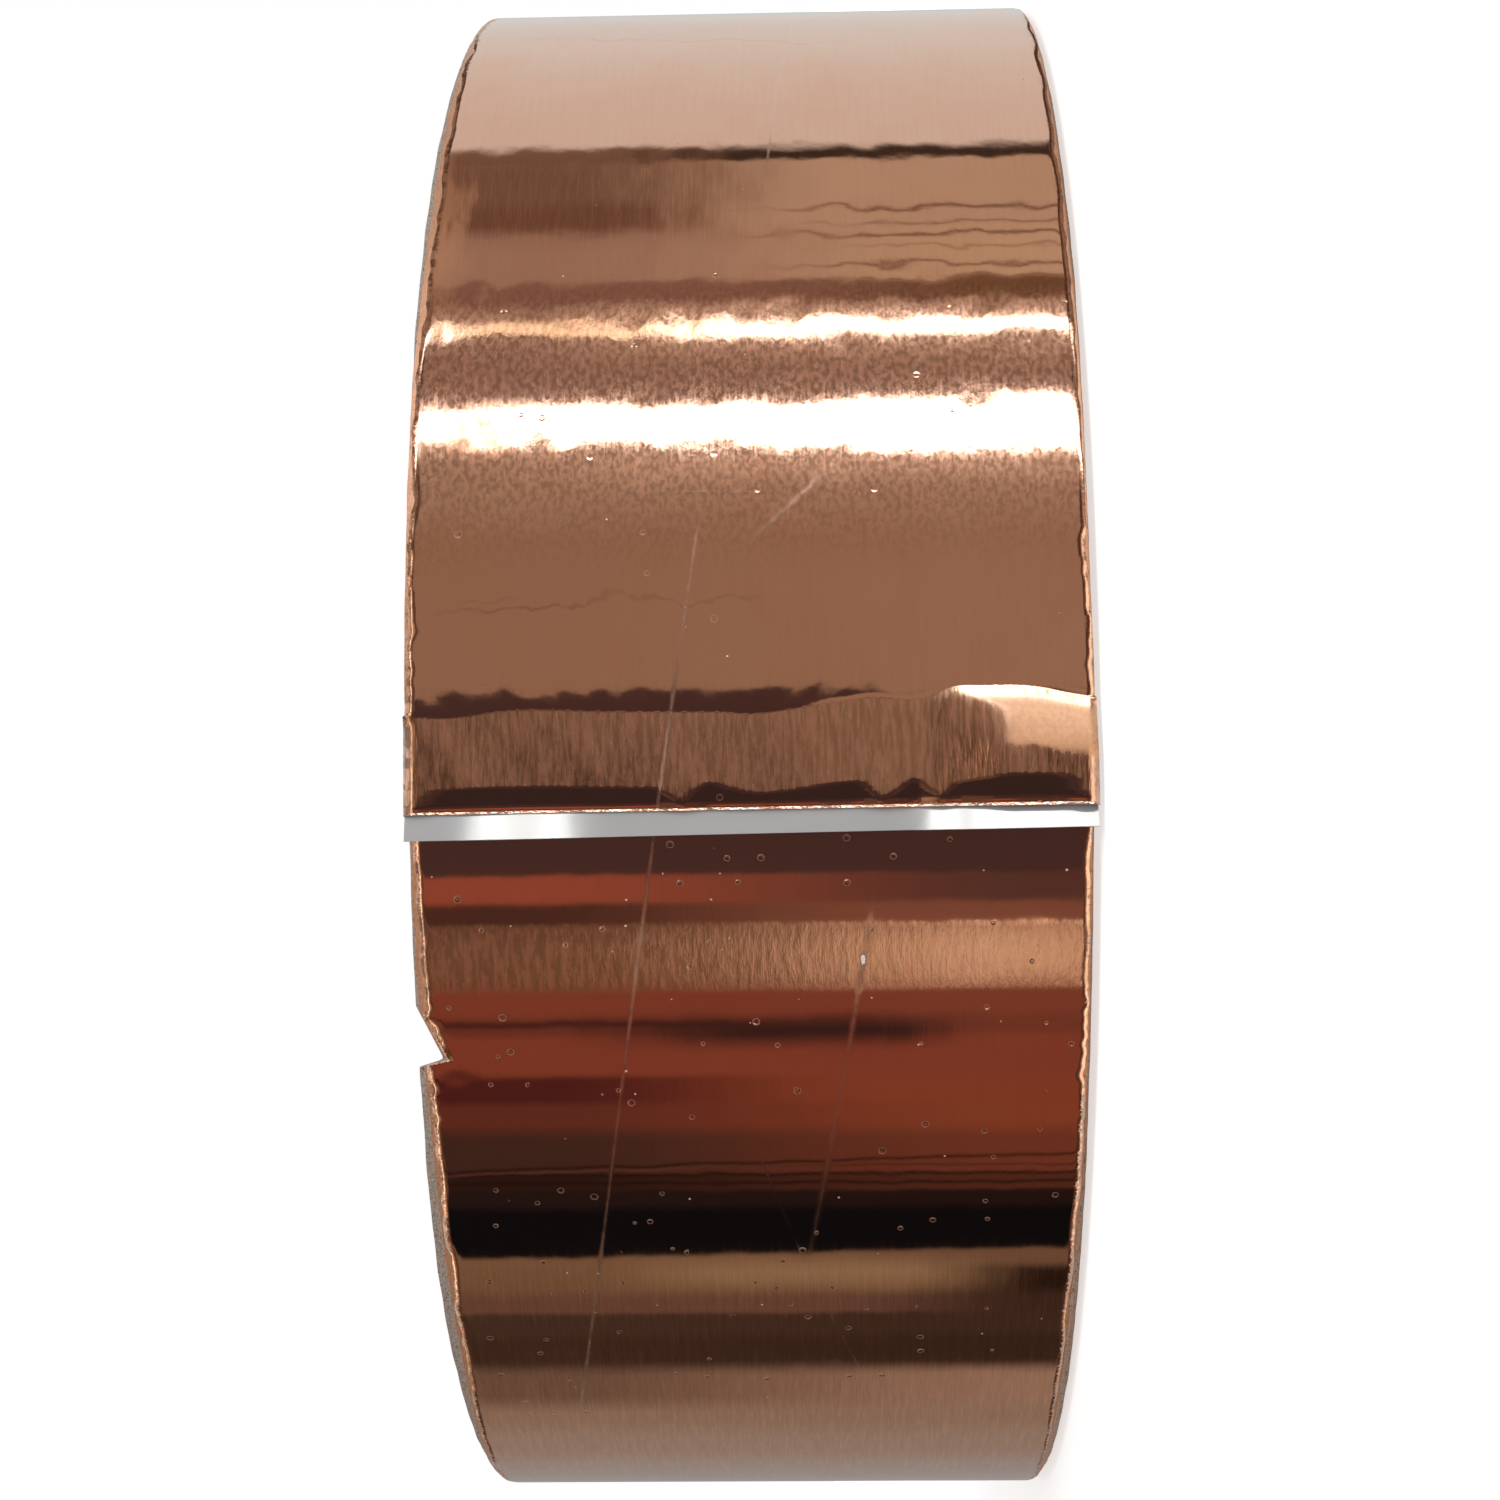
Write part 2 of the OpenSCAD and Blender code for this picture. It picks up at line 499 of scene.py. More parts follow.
        # The burr at the cut tip is tinted pale: partly the bared metal of the cut, partly a painted
        # highlight.
        colour = g.blend(burr * 0.12, colour, self.bright_rub_and_highlight)
        # Painted shade in the creases of the folds, darkened toward dark brown.
        colour = g.blend((folded * 0.5).least(1.0), colour, self.dark_brown)
        colour = g.blend(rim_breaks_and_shade * 0.85, colour, self.dark_brown)
        grime = g.blend(fuzz.rise(0.62, 0.70), self.dust, self.dark_brown)
        colour = g.blend(1.0 - bare, colour, g.blend(flake, grime, self.paint))

        # Relief in millimetres.
        height = (handled * (patches.rise(0.25, 0.75) * 0.7 + 0.65)
                  * (waves * 0.028 + abs(waves - 0.5) * hazy * 0.018 + ripples * 0.0018
                     + mottle * hazy * 0.0006)
                  + grain * 0.0012 + fine_grain * 0.0004
                  + rough_zone * (flap * 0.024 + 0.015) * (1.0 - corner * 0.3) * (tears - 0.5)
                  + dome * 0.011 + speck * 0.012 + dusty * fuzz * 0.02
                  + rim.fall(0.15, 0.6) * (upper_side * 0.035 + 0.015) * fuzz
                  + burr * (fuzz - 0.5) * 0.035 - folded * 0.004)
        g.principled({"Base Color": colour, "Metallic": bare, "Roughness": roughness,
                      "Normal": g.bump(height)})
        return material


@dataclass(frozen=True)
class FoilEdgeFinish:
    """Foil and liner that show on the steps between turns: rubbed, dull and dusty."""

    copper: Colour = (0.86, 0.50, 0.33)
    grey: Colour = (0.40, 0.335, 0.29)
    beige: Colour = (0.62, 0.47, 0.37)
    dark_brown: Colour = (0.13, 0.085, 0.065)
    pale_grit: Colour = (0.66, 0.57, 0.50)
    stain: Colour = (0.55, 0.24, 0.14)

    def build(self) -> bpy.types.Material:
        """Builds the material from grit, with bare copper where the steps meet the face.

        Returns:
            The material.
        """
        material, g = new_material("copper_foil_steps")
        _, turn = g.uv()
        x, y, z = g.object_place()
        angle = g.round_angle(x, y)
        mottle = g.noise((x * 0.64, y * 0.64, z * 2.4), 4.0, 0.7)
        grit = g.noise((x * 4.5, y * 4.5, z * 4.5), 2.0, 0.6)
        low_side = z.fall(-1.0, 1.0)
        front = angle.line(2.0, 42.0)
        past_nick = angle.within(-18.8, -17.8, 20.0, 40.0)
        turn = turn - past_nick * (mottle * 2.4)
        by_face = turn.fall(1.0, 2.4) * 0.8 + low_side * front * 0.5
        bare = (by_face + mottle - 0.5).rise(0.30, 0.62)
        dull = g.blend(low_side, self.grey, self.beige)
        dull = g.blend(grit.rise(0.52, 0.72) * 0.75, dull, self.pale_grit)
        dull = g.blend(grit.fall(0.34, 0.46) * 0.8, dull, self.dark_brown)
        bright = g.blend(grit.fall(0.30, 0.48) * 0.6, self.copper, self.stain)
        g.principled({"Base Color": g.blend(bare, dull, bright), "Metallic": bare * 0.75,
                      "Roughness": grit * 0.2 + 0.30,
                      "Normal": g.bump(grit * 0.05 + mottle * 0.05)})
        return material


@dataclass(frozen=True)
class TurnEdgeFinish:
    """Cut edges of the wound turns: a line of foil, then adhesive, then paper liner in each."""

    foil: Colour = (0.88, 0.50, 0.35)
    adhesive: Colour = (0.26, 0.14, 0.09)
    papers: Stops = (
        (0.30, (0.30, 0.19, 0.13)), (0.42, (0.46, 0.32, 0.24)), (0.55, (0.60, 0.46, 0.36)),
        (0.70, (0.74, 0.63, 0.53)))
    foil_share: float = 0.22
    adhesive_share: float = 0.36

    def build(self) -> bpy.types.Material:
        """Builds the material: the UV map holds the share of a turn's thickness and the turn.

        Returns:
            The material.
        """
        material, g = new_material("wound_turn_edges")
        share, turn = g.uv()
        x, y, z = g.object_place()
        by_turn = g.noise((turn * 2.3,), 3.0, 0.6)
        slow = g.noise((turn * 0.17, x * 0.002, y * 0.002), 4.0, 0.65)
        fibres = g.noise((x * 2.2, y * 2.2, z * 2.2), 3.0, 0.7)
        smear = g.noise((x * 0.10, y * 0.10, 0.0), 4.0, 0.6)
        spread = by_turn.rise(0.30, 0.72) * 0.30 + fibres.rise(0.3, 0.8) * 0.14
        is_foil = share.fall(self.foil_share + spread, self.foil_share + 0.06 + spread)
        is_glue = share.fall(self.adhesive_share + spread, self.adhesive_share + 0.10 + spread)
        paper = g.ramp((slow - 0.5) * 1.3 + (smear - 0.5) * 0.7 + (fibres - 0.5) * 0.35 + 0.5,
                       self.papers)
        colour = g.blend(is_foil, g.blend(is_glue, paper, self.adhesive), self.foil)
        g.principled({"Base Color": colour, "Metallic": is_foil,
                      "Roughness": is_foil * -0.42 + 0.70 + fibres * 0.1,
                      "Normal": g.bump(fibres * 0.06)})
        return material


@dataclass(frozen=True)
class LinerFinish:
    """Smooth coated liner paper, whose mid grey colour is white paper with painted shade."""

    # The mid grey is painted shade on white liner paper.
    colour: Colour = (0.47, 0.48, 0.49)
    clouds: Colour = (0.43, 0.445, 0.46)

    def build(self) -> bpy.types.Material:
        """Builds the material: faint fibres under an even, slightly waxy coat.

        Returns:
            The material.
        """
        material, g = new_material("liner_paper")
        along, across = g.tape_place()
        fibres = g.noise((along * 2.0, across * 2.0), 4.0, 0.6)
        cloud = g.noise((along * 0.3, across * 0.15), 2.0, 0.5)
        colour = g.blend(cloud.rise(0.3, 0.7) * 0.5, self.colour, self.clouds)
        g.principled({"Base Color": colour, "Roughness": fibres * 0.06 + 0.22, "IOR": 1.6,
                      "Coat Weight": 1.0, "Coat Roughness": 0.12, "Coat IOR": 2.2,
                      "Normal": g.bump(fibres * 0.004)})
        return material


@dataclass(frozen=True)
class BoardFinish:
    """Kraft board of the core, wound from strips in a helix."""

    light: Colour = (0.50, 0.37, 0.24)
    dark: Colour = (0.36, 0.25, 0.15)
    end_from: Span = (25.15, 25.3)

    def build(self) -> bpy.types.Material:
        """Builds the material from fibres, specks and the plies that show on its ends.

        Returns:
            The material.
        """
        material, g = new_material("kraft_board")
        x, y, z = g.object_place()
        radius = from_axis(x, y)
        fibres = g.noise((x * 0.9, y * 0.9, z * 2.6), 5.0, 0.65)
        fine = g.noise((x * 4.0, y * 4.0, z * 4.0), 3.0, 0.7)
        plies = g.noise((radius * 2.4, x * 0.006, y * 0.006), 2.0, 0.6)
        on_end = abs(z).rise(*self.end_from)
        shade = fibres.rise(0.3, 0.7) * 0.6 + fine.rise(0.35, 0.75) * 0.4
        shade = shade * (1.0 - on_end) + plies.rise(0.35, 0.62) * on_end
        colour = g.blend(shade, self.light, self.dark)
        g.principled({"Base Color": colour, "Roughness": fine * 0.1 + 0.78,
                      "Normal": g.bump(fibres * 0.05 + fine * 0.03)})
        return material


# Shapes.


@dataclass(frozen=True)
class Waves:
    """A smooth, repeatable wobble: a sum of sines with seeded phases and uneven lengths."""

    lengths: tuple[float, ...]
    size: float
    seed: int

    def at(self, place: np.ndarray, other: np.ndarray | float = 0.0) -> np.ndarray:
        """Value of the wobble.

        Args:
            place: Where along the wobble, in the unit of its wave lengths.
            other: A second place, which turns each wave's phase at its own rate.

        Returns:
            The sum of sines, about -size to size.
        """
        rng = np.random.default_rng(self.seed)
        total = np.zeros(np.broadcast(place, other).shape)
        for length in self.lengths:
            phase, turn = rng.uniform(0, 2 * np.pi), rng.uniform(0.5, 1.0)
            total += np.sin(2 * np.pi * (place + turn * np.asarray(other)) / length + phase)
        return total * self.size / math.sqrt(len(self.lengths))


def smooth(value: np.ndarray, start: float, end: float) -> np.ndarray:
    """0 below start and 1 above end, with a smooth cubic between."""
    share = np.clip((value - start) / (end - start), 0.0, 1.0)
    return share * share * (3 - 2 * share)


def through(points: Pairs, place: np.ndarray) -> np.ndarray:
    """Value of a smooth curve through known points.

    Between two points it is a cubic, whose slope at each point is that of the line through its
    neighbours.

    Args:
        points: Places in rising order, each with its value.
        place: Where the values are wanted.

    Returns:
        Values, level past both ends.
    """
    at, value = np.array(points).T
    slope = np.gradient(value, at)
    i = np.clip(np.searchsorted(at, place) - 1, 0, len(at) - 2)
    span = at[i + 1] - at[i]
    t = np.clip((place - at[i]) / span, 0.0, 1.0)
    return ((1 + 2 * t) * (1 - t) ** 2 * value[i] + t * (1 - t) ** 2 * span * slope[i]
            + t * t * (3 - 2 * t) * value[i + 1] - t * t * (1 - t) * span * slope[i + 1])


@dataclass(frozen=True)
class Nick:
    """A knock in the upper edge: a V across the rim that dies out towards the core."""

    at: float = -18.5
    lean: float = 27.0
    top: float = 25.4
    depth: float = 2.70
    reach: float = 17.6
    slope: float = 4.7
    step: float = 0.47
    pressed: float = 0.05

    def floor(self, angle: np.ndarray, turn: np.ndarray, roll: "Roll") -> np.ndarray:
        """Height that the knock leaves.

        The knock ran in at a lean from the roll's radius. Its bottom rises evenly on its way in,
        two flat slopes rise from there to its sides, and the outermost turn is pressed a little
        further down than the turns below it.

        Args:
            angle: Place round the roll, in degrees.
            turn: Turns in from the outside.
            roll: The roll, for its radius and the thickness of a turn.

        Returns:
            Greatest height of an edge in millimetres, far above the roll away from the knock.
        """
        radius = roll.radius - roll.turn * turn
        off, way = np.radians(angle - self.at), math.radians(self.lean)
        inward = roll.radius * math.cos(way) - radius * np.cos(off - way)
        aside = radius * np.sin(off - way) + roll.radius * math.sin(way)
        left = 1 - inward / self.reach - np.maximum(aside / self.slope, -aside / self.step)
        near = (left > 0) & (np.cos(off) > 0.8)
        cut = self.depth * left + self.pressed * (1 - smooth(turn, 1.0, 2.6))
        return np.where(near, self.top - cut, self.top + 1.0)


@dataclass(frozen=True)
class EdgeLine:
    """Where the edges of the turns lie at one end of the roll.

    The outermost turn's flat face stops short of the end by an inset that changes round the roll.
    The turns below it step out from there to the full width, within the first few turns.
    """

    insets: Pairs
    spread: float
    proud: Pairs
    wander: Waves
    flutter: Waves

    @staticmethod
    def _eased(known: Pairs, angle: np.ndarray) -> np.ndarray:
        """Value round the roll, eased between known angles.

        Args:
            known: Angles in rising order, each with its value.
            angle: Where the values are wanted.

        Returns:
            The values.
        """
        angles, depths = np.array(known).T
        spot = (np.asarray(angle) - angles[0]) % 360 + angles[0]
        index = np.clip(np.searchsorted(angles, spot, side="right") - 1, 0, len(angles) - 1)
        following = (index + 1) % len(angles)
        span = (angles[following] - angles[index]) % 360
        share = smooth((spot - angles[index]) / span, 0.0, 1.0)
        return depths[index] * (1 - share) + depths[following] * share

    def height(self, turn: np.ndarray, angle: np.ndarray, half_width: float) -> np.ndarray:
        """Distance of a turn's edge from the middle of the tape, before any knock.

        Args:
            turn: Turns in from the outside, as a number that grows along the spiral.
            angle: Place round the roll, in degrees.
            half_width: Half of the tape's width.

        Returns:
            Height in millimetres, positive at either end of the roll.
        """
        full = half_width + self._eased(self.proud, angle)
        full = full + self.wander.at(turn) * smooth(turn, 2, 12)
        stepped = np.clip(turn / self.spread, 0, 1) ** 0.8
        face = half_width - self._eased(self.insets, angle)
        loose = self.flutter.at(turn) * (0.35 + 0.65 * smooth(turn, 0, 3))
        return face + (full - face) * stepped + loose


@dataclass(frozen=True)
class Roll:
    """Sizes that the pieces of the roll share."""

    radius: float = 72.2
    turn: float = 0.215
    tape: float = 0.09
    liner: float = 0.12
    turns: int = 140
    half_width: float = 25.0
    end_at: float = 3.0
    nick: Nick = field(default_factory=Nick)
    upper: EdgeLine = field(default_factory=lambda: EdgeLine(
        ((3, 0.05), (20, 0.10), (35, 0.65), (70, 0.80), (130, 0.55), (200, 0.95), (260, 0.70),
         (298, 0.85), (306, 0.95), (318, 1.20), (334, 1.05), (344, 0.85), (352, 0.62),
         (357, 0.38)),
        7.0, ((0, -0.02), (36, 0.36), (75, 0.08), (150, 0.0), (270, 0.10), (325, 0.30),
              (345, 0.05)),
        Waves((0.93, 2.7, 9.1, 23.0, 31.7), 0.10, 3),
        Waves((0.0123, 0.0217, 0.0461, 0.0853, 0.171, 0.43), 0.045, 5)))
    lower: EdgeLine = field(default_factory=lambda: EdgeLine(
        ((3, 0.05), (12, 0.25), (40, 0.40), (110, 0.55), (190, 0.45), (250, 0.75), (311, 1.05),
         (323, 1.00), (328, 0.75), (334, 0.55), (348, 0.45), (353, 0.38), (357, 0.20)),
        6.0, ((0, -0.10), (36, 0.05), (90, 0.0), (300, 0.0), (345, -0.10)),
        Waves((1.07, 3.1, 8.3, 19.0, 37.1), 0.09, 11),
        Waves((0.0131, 0.0239, 0.0437, 0.0911, 0.157, 0.37), 0.035, 13)))

    def edge_z(self, side: Side, turn: np.ndarray) -> np.ndarray:
        """Height of a turn's edge, with the knock taken out of the upper one.

        Args:
            side: End of the roll.
            turn: Turns in from the outside.

        Returns:
            Heights in millimetres.
        """
        angle = self.end_at + 360 * turn
        line = self.upper if side is Side.UPPER else self.lower
        height = line.height(turn, angle, self.half_width)
        if side is Side.UPPER:
            height = np.minimum(height, self.nick.floor(angle, turn, self))
        return side.value * height


def around(angle: np.ndarray, radius: np.ndarray, z: np.ndarray) -> np.ndarray:
    """Points at an angle from the front, in degrees, a radius and a height, stacked as x, y, z."""
    a = np.radians(angle)
    return np.stack(np.broadcast_arrays(radius * np.sin(a), -radius * np.cos(a), z), axis=-1)


def grid_quads(index: np.ndarray) -> np.ndarray:
    """Quads between neighbours in a two-way array of vertex numbers."""
    return np.stack([index[:-1, :-1], index[1:, :-1], index[1:, 1:], index[:-1, 1:]],
                    axis=-1).reshape(-1, 4)


def make_piece(name: str, points: np.ndarray, quads: np.ndarray,
               finishes: Sequence[bpy.types.Material], uv: np.ndarray | None = None,
               extra: Sequence[Sequence[int]] = (), finish_of: np.ndarray | None = None,
               sharp: float = 40.0, marks: dict[str, np.ndarray] | None = None
               ) -> bpy.types.Object:
    """Makes a mesh object from whole arrays.

    Args:
        name: The piece's name.
        points: Vertices in millimetres, one row each.
        quads: Four-cornered faces, by vertex number, seen anticlockwise from outside.
        finishes: Its materials, one for each slot.
        uv: Texture place of each vertex, or of each quad's corner where it has three axes.
        extra: Further faces of any number of corners.
        finish_of: Material slot of each quad.
        sharp: Angle between faces above which the edge between them is shaded sharp.
        marks: Named numbers of each vertex, kept with the mesh for its finish.

    Returns:
        The object, in the scene.
    """
    mesh = bpy.data.meshes.new(name)
    faces = len(quads) + len(extra)
    corners = np.concatenate([quads.ravel(), *[np.asarray(f) for f in extra]]).astype(np.int32)
    sizes = np.concatenate([np.full(len(quads), 4), [len(f) for f in extra]]).astype(np.int32)
    mesh.vertices.add(len(points))
    mesh.vertices.foreach_set("co", (points * MM).astype(np.float32).ravel())
    mesh.loops.add(len(corners))
    mesh.loops.foreach_set("vertex_index", corners)
    mesh.polygons.add(faces)
    starts = np.concatenate([[0], np.cumsum(sizes)[:-1]]).astype(np.int32)
    mesh.polygons.foreach_set("loop_start", starts)
    if uv is not None:
        flat = uv[corners] if uv.ndim == 2 else np.concatenate(
            [uv.reshape(-1, 2), np.zeros((len(corners) - len(quads) * 4, 2))])
        mesh.uv_layers.new(name="tape").data.foreach_set("uv", flat.astype(np.float32).ravel())
    for mark, values in (marks or {}).items():
        kept = mesh.attributes.new(mark, "FLOAT", "POINT").data
        kept.foreach_set("value", values.astype(np.float32))
    if finish_of is not None:
        slots = np.concatenate([finish_of, np.zeros(len(extra), np.int32)]).astype(np.int32)
        mesh.polygons.foreach_set("material_index", slots)
    mesh.polygons.foreach_set("use_smooth", np.ones(faces, bool))
    mesh.update(calc_edges=True)
    mesh.validate()
    mesh.set_sharp_from_angle(angle=math.radians(sharp))
    for finish in finishes:
        mesh.materials.append(finish)
    piece = bpy.data.objects.new(name, mesh)
    bpy.context.scene.collection.objects.link(piece)
    return piece


def make_shell(name: str, outer: np.ndarray, inner: np.ndarray, place: np.ndarray,
               finish: bpy.types.Material, sharp: float = 40.0,
               marks: dict[str, np.ndarray] | None = None) -> bpy.types.Object:
    """Makes a closed shell from rows of points on its outer and its inner surface.

    A loop of quads goes over the outer surface, round an edge, back over the inner surface and
    round the other edge, and a strip of quads closes the first row and the last.

    Args:
        name: The piece's name.
        outer: Outer points in millimetres, by row and column. Rows follow each other anticlockwise
            round the roll, and columns go upwards.
        inner: Inner points, in the same order.
        place: Texture place of each point in millimetres.
        finish: Its material.
        sharp: Angle between faces above which the edge between them is shaded sharp.
        marks: Named numbers of each point, kept with the mesh for its finish.

    Returns:
        The object, in the scene.
    """
    number = np.arange(outer[..., 0].size).reshape(outer.shape[:2])
    under = number + number.size
    loop = np.concatenate([number[:, ::-1], under, number[:, -1:]], axis=1)
    caps = [np.stack([under[0], number[0]]), np.stack([number[-1], under[-1]])]
    points = np.concatenate([outer.reshape(-1, 3), inner.reshape(-1, 3)])
    uv = np.tile(place.reshape(-1, 2) * MM, (2, 1))
    return make_piece(name, points, np.concatenate([grid_quads(part) for part in (loop, *caps)]),
                      [finish], uv, sharp=sharp,
                      marks={mark: np.tile(m.ravel(), 2) for mark, m in (marks or {}).items()})


def lay_out(tilt: np.ndarray, steps: np.ndarray | float, start_x: np.ndarray, start_y: np.ndarray,
            tip_x: np.ndarray) -> tuple[np.ndarray, np.ndarray, np.ndarray]:
    """Lays a strip out from where it leaves the roll, as the sum of small steps turned by a tilt.

    Args:
        tilt: Angle that each step faces, in radians, by step and height.
        steps: Share of the length that each step takes.
        start_x: x at which it starts, at each height.
        start_y: y at which it starts.
        tip_x: x that its tip reaches, which sets its length.

    Returns:
        x and y after each number of steps, and the length at each height.
    """
    first = np.zeros((1, tilt.shape[1]))
    run_x = np.concatenate([first, np.cumsum(np.cos(tilt) * steps, axis=0)])
    run_y = np.concatenate([first, np.cumsum(np.sin(tilt) * steps, axis=0)])
    length = (start_x - tip_x) / run_x[-1]
    return start_x - run_x * length, start_y - run_y * length, length


def rolled_edge(drop: float, width: np.ndarray, from_edge: np.ndarray) -> np.ndarray:
    """How far a rolled edge stands out: below zero by a square law, by a share of its width."""
    return -drop * width * np.clip(1 - from_edge / width, 0, 1) ** 2


def stations(*runs: tuple[float, float, float]) -> np.ndarray:
    """Places in order, each run from a start to an end at about a step."""
    parts = [np.linspace(a, b, max(2, int(round((b - a) / step)) + 1))[:-1] for a, b, step in runs]
    return np.concatenate([*parts, [runs[-1][1]]])


@dataclass
class WoundTurns:
    """Part of the winding as one closed spiral body, whose turns are terraces on both ends."""

    roll: Roll
    name: str
    first: int
    last: int
    steps: np.ndarray
    tilt: float = 0.02
    clearance: float = 0.002

    def build(self, edge: bpy.types.Material, foil: bpy.types.Material) -> bpy.types.Object:
        """Builds the body.

        On each end a ribbon runs along the spiral, from the outside of a turn to its inside, at
        the height of that turn's edge. Narrow walls join the inside of each turn to the outside
        of the next, and a wall each closes the body at the outermost and innermost turn.

        Args:
            edge: Finish of the cut edges.
            foil: Finish of the walls between them.

        Returns:
            The piece.
        """
        roll, per_turn = self.roll, len(self.steps)
        count = self.last - self.first
        turn = self.first + np.concatenate([*(self.steps + k for k in range(count)), [count]])
        angle = roll.end_at + 360 * turn
        outside = roll.radius - roll.turn * turn
        if self.first == 0:
            outside = outside - (roll.tape + self.clearance) * (turn < 1)
        inside = roll.radius - roll.turn * (turn + 1)
        total = len(turn)
        rows = []
        for side in Side:
            z = roll.edge_z(side, turn)
            rows += [around(angle, outside, z), around(angle, inside, z - side.value * self.tilt)]
        uv = [np.stack([np.full(total, share), turn], -1) for share in (0, 1, 0, 1)]
        top_out, top_in, low_out, low_in = np.arange(4 * total).reshape(4, total)
        wrap = slice(per_turn, None)
        strips = [
            (top_out, top_in, 0), (low_in, low_out, 0),
            (top_in[:-per_turn], top_out[wrap], 1), (low_out[wrap], low_in[:-per_turn], 1),
            (low_out[:per_turn + 1], top_out[:per_turn + 1], 1),
            (top_in[-per_turn - 1:], low_in[-per_turn - 1:], 1),
        ]
        quads = [grid_quads(np.stack([a, b], axis=1)) for a, b, _ in strips]
        finish_of = np.concatenate([np.full(len(q), s) for q, (_, _, s) in zip(quads, strips)])
        start = [top_out[0], top_in[0], top_out[per_turn], low_out[per_turn], low_in[0], low_out[0]]
        end = [low_in[-1], low_out[-1], low_in[-per_turn - 1], top_in[-per_turn - 1], top_out[-1],
               top_in[-1]]
        return make_piece(self.name, np.concatenate(rows), np.concatenate(quads), [edge, foil],
                          np.concatenate(uv), (start, end), finish_of, sharp=25.0)


@dataclass(frozen=True)
class FreeEnd:
    """The creased and lifted end of the foil. Pairs are a height on the roll and a value there."""

    crease: Pairs = (
        (-25.2, 2.75), (-23.0, 3.05), (-21.0, 3.38), (-17.0, 3.50), (-14.4, 3.40), (-13.2, 2.95),
        (-8.5, 2.86), (-5.0, 2.50), (-2.4, 2.22), (0.0, 2.02), (2.0, 2.16), (6.0, 2.20),
        (12.0, 2.32), (15.6, 2.45), (18.4, 2.30), (22.0, 2.02), (25.2, 2.14))
    level: Pairs = (
        (-25.2, 6.2), (-12.0, 6.1), (-6.0, 5.5), (5.0, 4.9), (16.0, 4.6), (25.2, 4.6))
    bend_from: Pairs = (
        (-25.2, 0.92), (-24.0, 0.92), (-23.4, 0.78), (-22.7, 0.72), (-18.0, 0.74), (-14.9, 0.79),
        (-13.8, 0.89), (-12.9, 0.82), (-11.9, 0.71), (-10.4, 0.85), (-9.5, 0.91), (-8.7, 0.82),
        (-8.0, 0.74), (-5.6, 0.75), (-3.0, 0.80), (-0.8, 0.82), (1.2, 0.77), (2.9, 0.70),
        (3.9, 0.77), (4.95, 0.91), (5.9, 0.82), (6.7, 0.745), (14.0, 0.735), (22.4, 0.72),
        (23.4, 0.82), (24.0, 0.92), (25.2, 0.92))
    raised: Zone = (23.8, 19.4, 16.6, 5.6)
    raised_at: Span = (9.4, 14.6)
    raised_over: Span = (7.4, 4.6)
    shade_tilt: float = -3.4
    tip_x: Span = (-4.22, -4.55)
    tip_from: Span = (0.905, 0.960)
    tip_tilt: float = -9.2
    burr_from: float = 0.966
    burr_tilt: float = 20.3
    half_width: float = 25.06
    wrinkle: Waves = Waves((5.1, 8.7, 13.9, 3.3), 0.5, 21)
    sag: Waves = Waves((7.3, 11.9, 19.0), 0.8, 22)
    beads: Waves = Waves((0.71, 1.13, 1.9, 4.3), 1.0, 24)

    def crease_angle(self, z: np.ndarray) -> np.ndarray:
        """Angle round the roll at which the crease lies, at each height."""
        return through(self.crease, z)

    def _corner_tilt(self, share: np.ndarray) -> np.ndarray:
        """Tilt of the raised lower corner, which eases off from the crease to the tip."""
        start, soon, held, last = self.raised
        return (start + (soon - start) * smooth(share, 0.07, 0.17)
                + (held - soon) * smooth(share, 0.17, 0.45)
                + (last - held) * smooth(share, 0.46, 0.60))

    def _bend(self, z: np.ndarray) -> np.ndarray:
        """Share of the way to the tip at which the foil bends, at each height."""
        return np.interp(z, *np.array(self.bend_from).T) + 0.004 * self.sag.at(z * 1.7)

    def shaded(self, share: np.ndarray, z: np.ndarray) -> np.ndarray:
        """0 before the bend and 1 past it."""
        bend = self._bend(z)
        return smooth(share, bend + 0.002, bend + 0.026)

    def burr(self, share: np.ndarray, z: np.ndarray) -> np.ndarray:
        """0 before the burr and 1 on it."""
        return smooth(share, self.burr_from - 0.004, self.burr_from + 0.006) + 0 * z

    def tilt(self, share: np.ndarray, z: np.ndarray) -> np.ndarray:
        """Angle that the lifted foil faces, from the front towards +X.

        It keeps its level from the crease on, which the raised corner takes over past a line that
        slants in from the crease. From the bend it falls to a shaded stretch and on to the tip,
        where the shears left a burr that stands up.

        Args:
            share: Share of the way from the crease to the tip.
            z: Height on the roll.

        Returns:
            Angles in degrees.
        """
        level = through(self.level, z)
        start, held = self.raised_at
        over, late = self.raised_over
        along = smooth(share, 0, 0.3)
        corner = smooth((-z - start - (held - start) * along) / (over + (late - over) * along), 0, 1)
        body = level * (1 - corner) + self._corner_tilt(share) * corner
        body = body + self.wrinkle.at(z, share * 6.0) * np.sin(np.pi * np.clip(share, 0, 1))
        bend = self._bend(z)
        turned = body + (self.shade_tilt - body) * smooth(share, bend, bend + 0.036)
        turned = turned + (self.tip_tilt - self.shade_tilt) * smooth(share, *self.tip_from)
        burr = self.burr_tilt + self.beads.at(z, share * 9.0) - self.tip_tilt
        return turned + burr * smooth(share, self.burr_from, self.burr_from + 0.012)

    def tip_line(self, z: np.ndarray, past: Span = (0.0, 0.0)) -> np.ndarray:
        """x of the cut edge, or of a line that far past it: straight from low to high."""
        return np.interp(z, [-25, 25], np.subtract(self.tip_x, past))

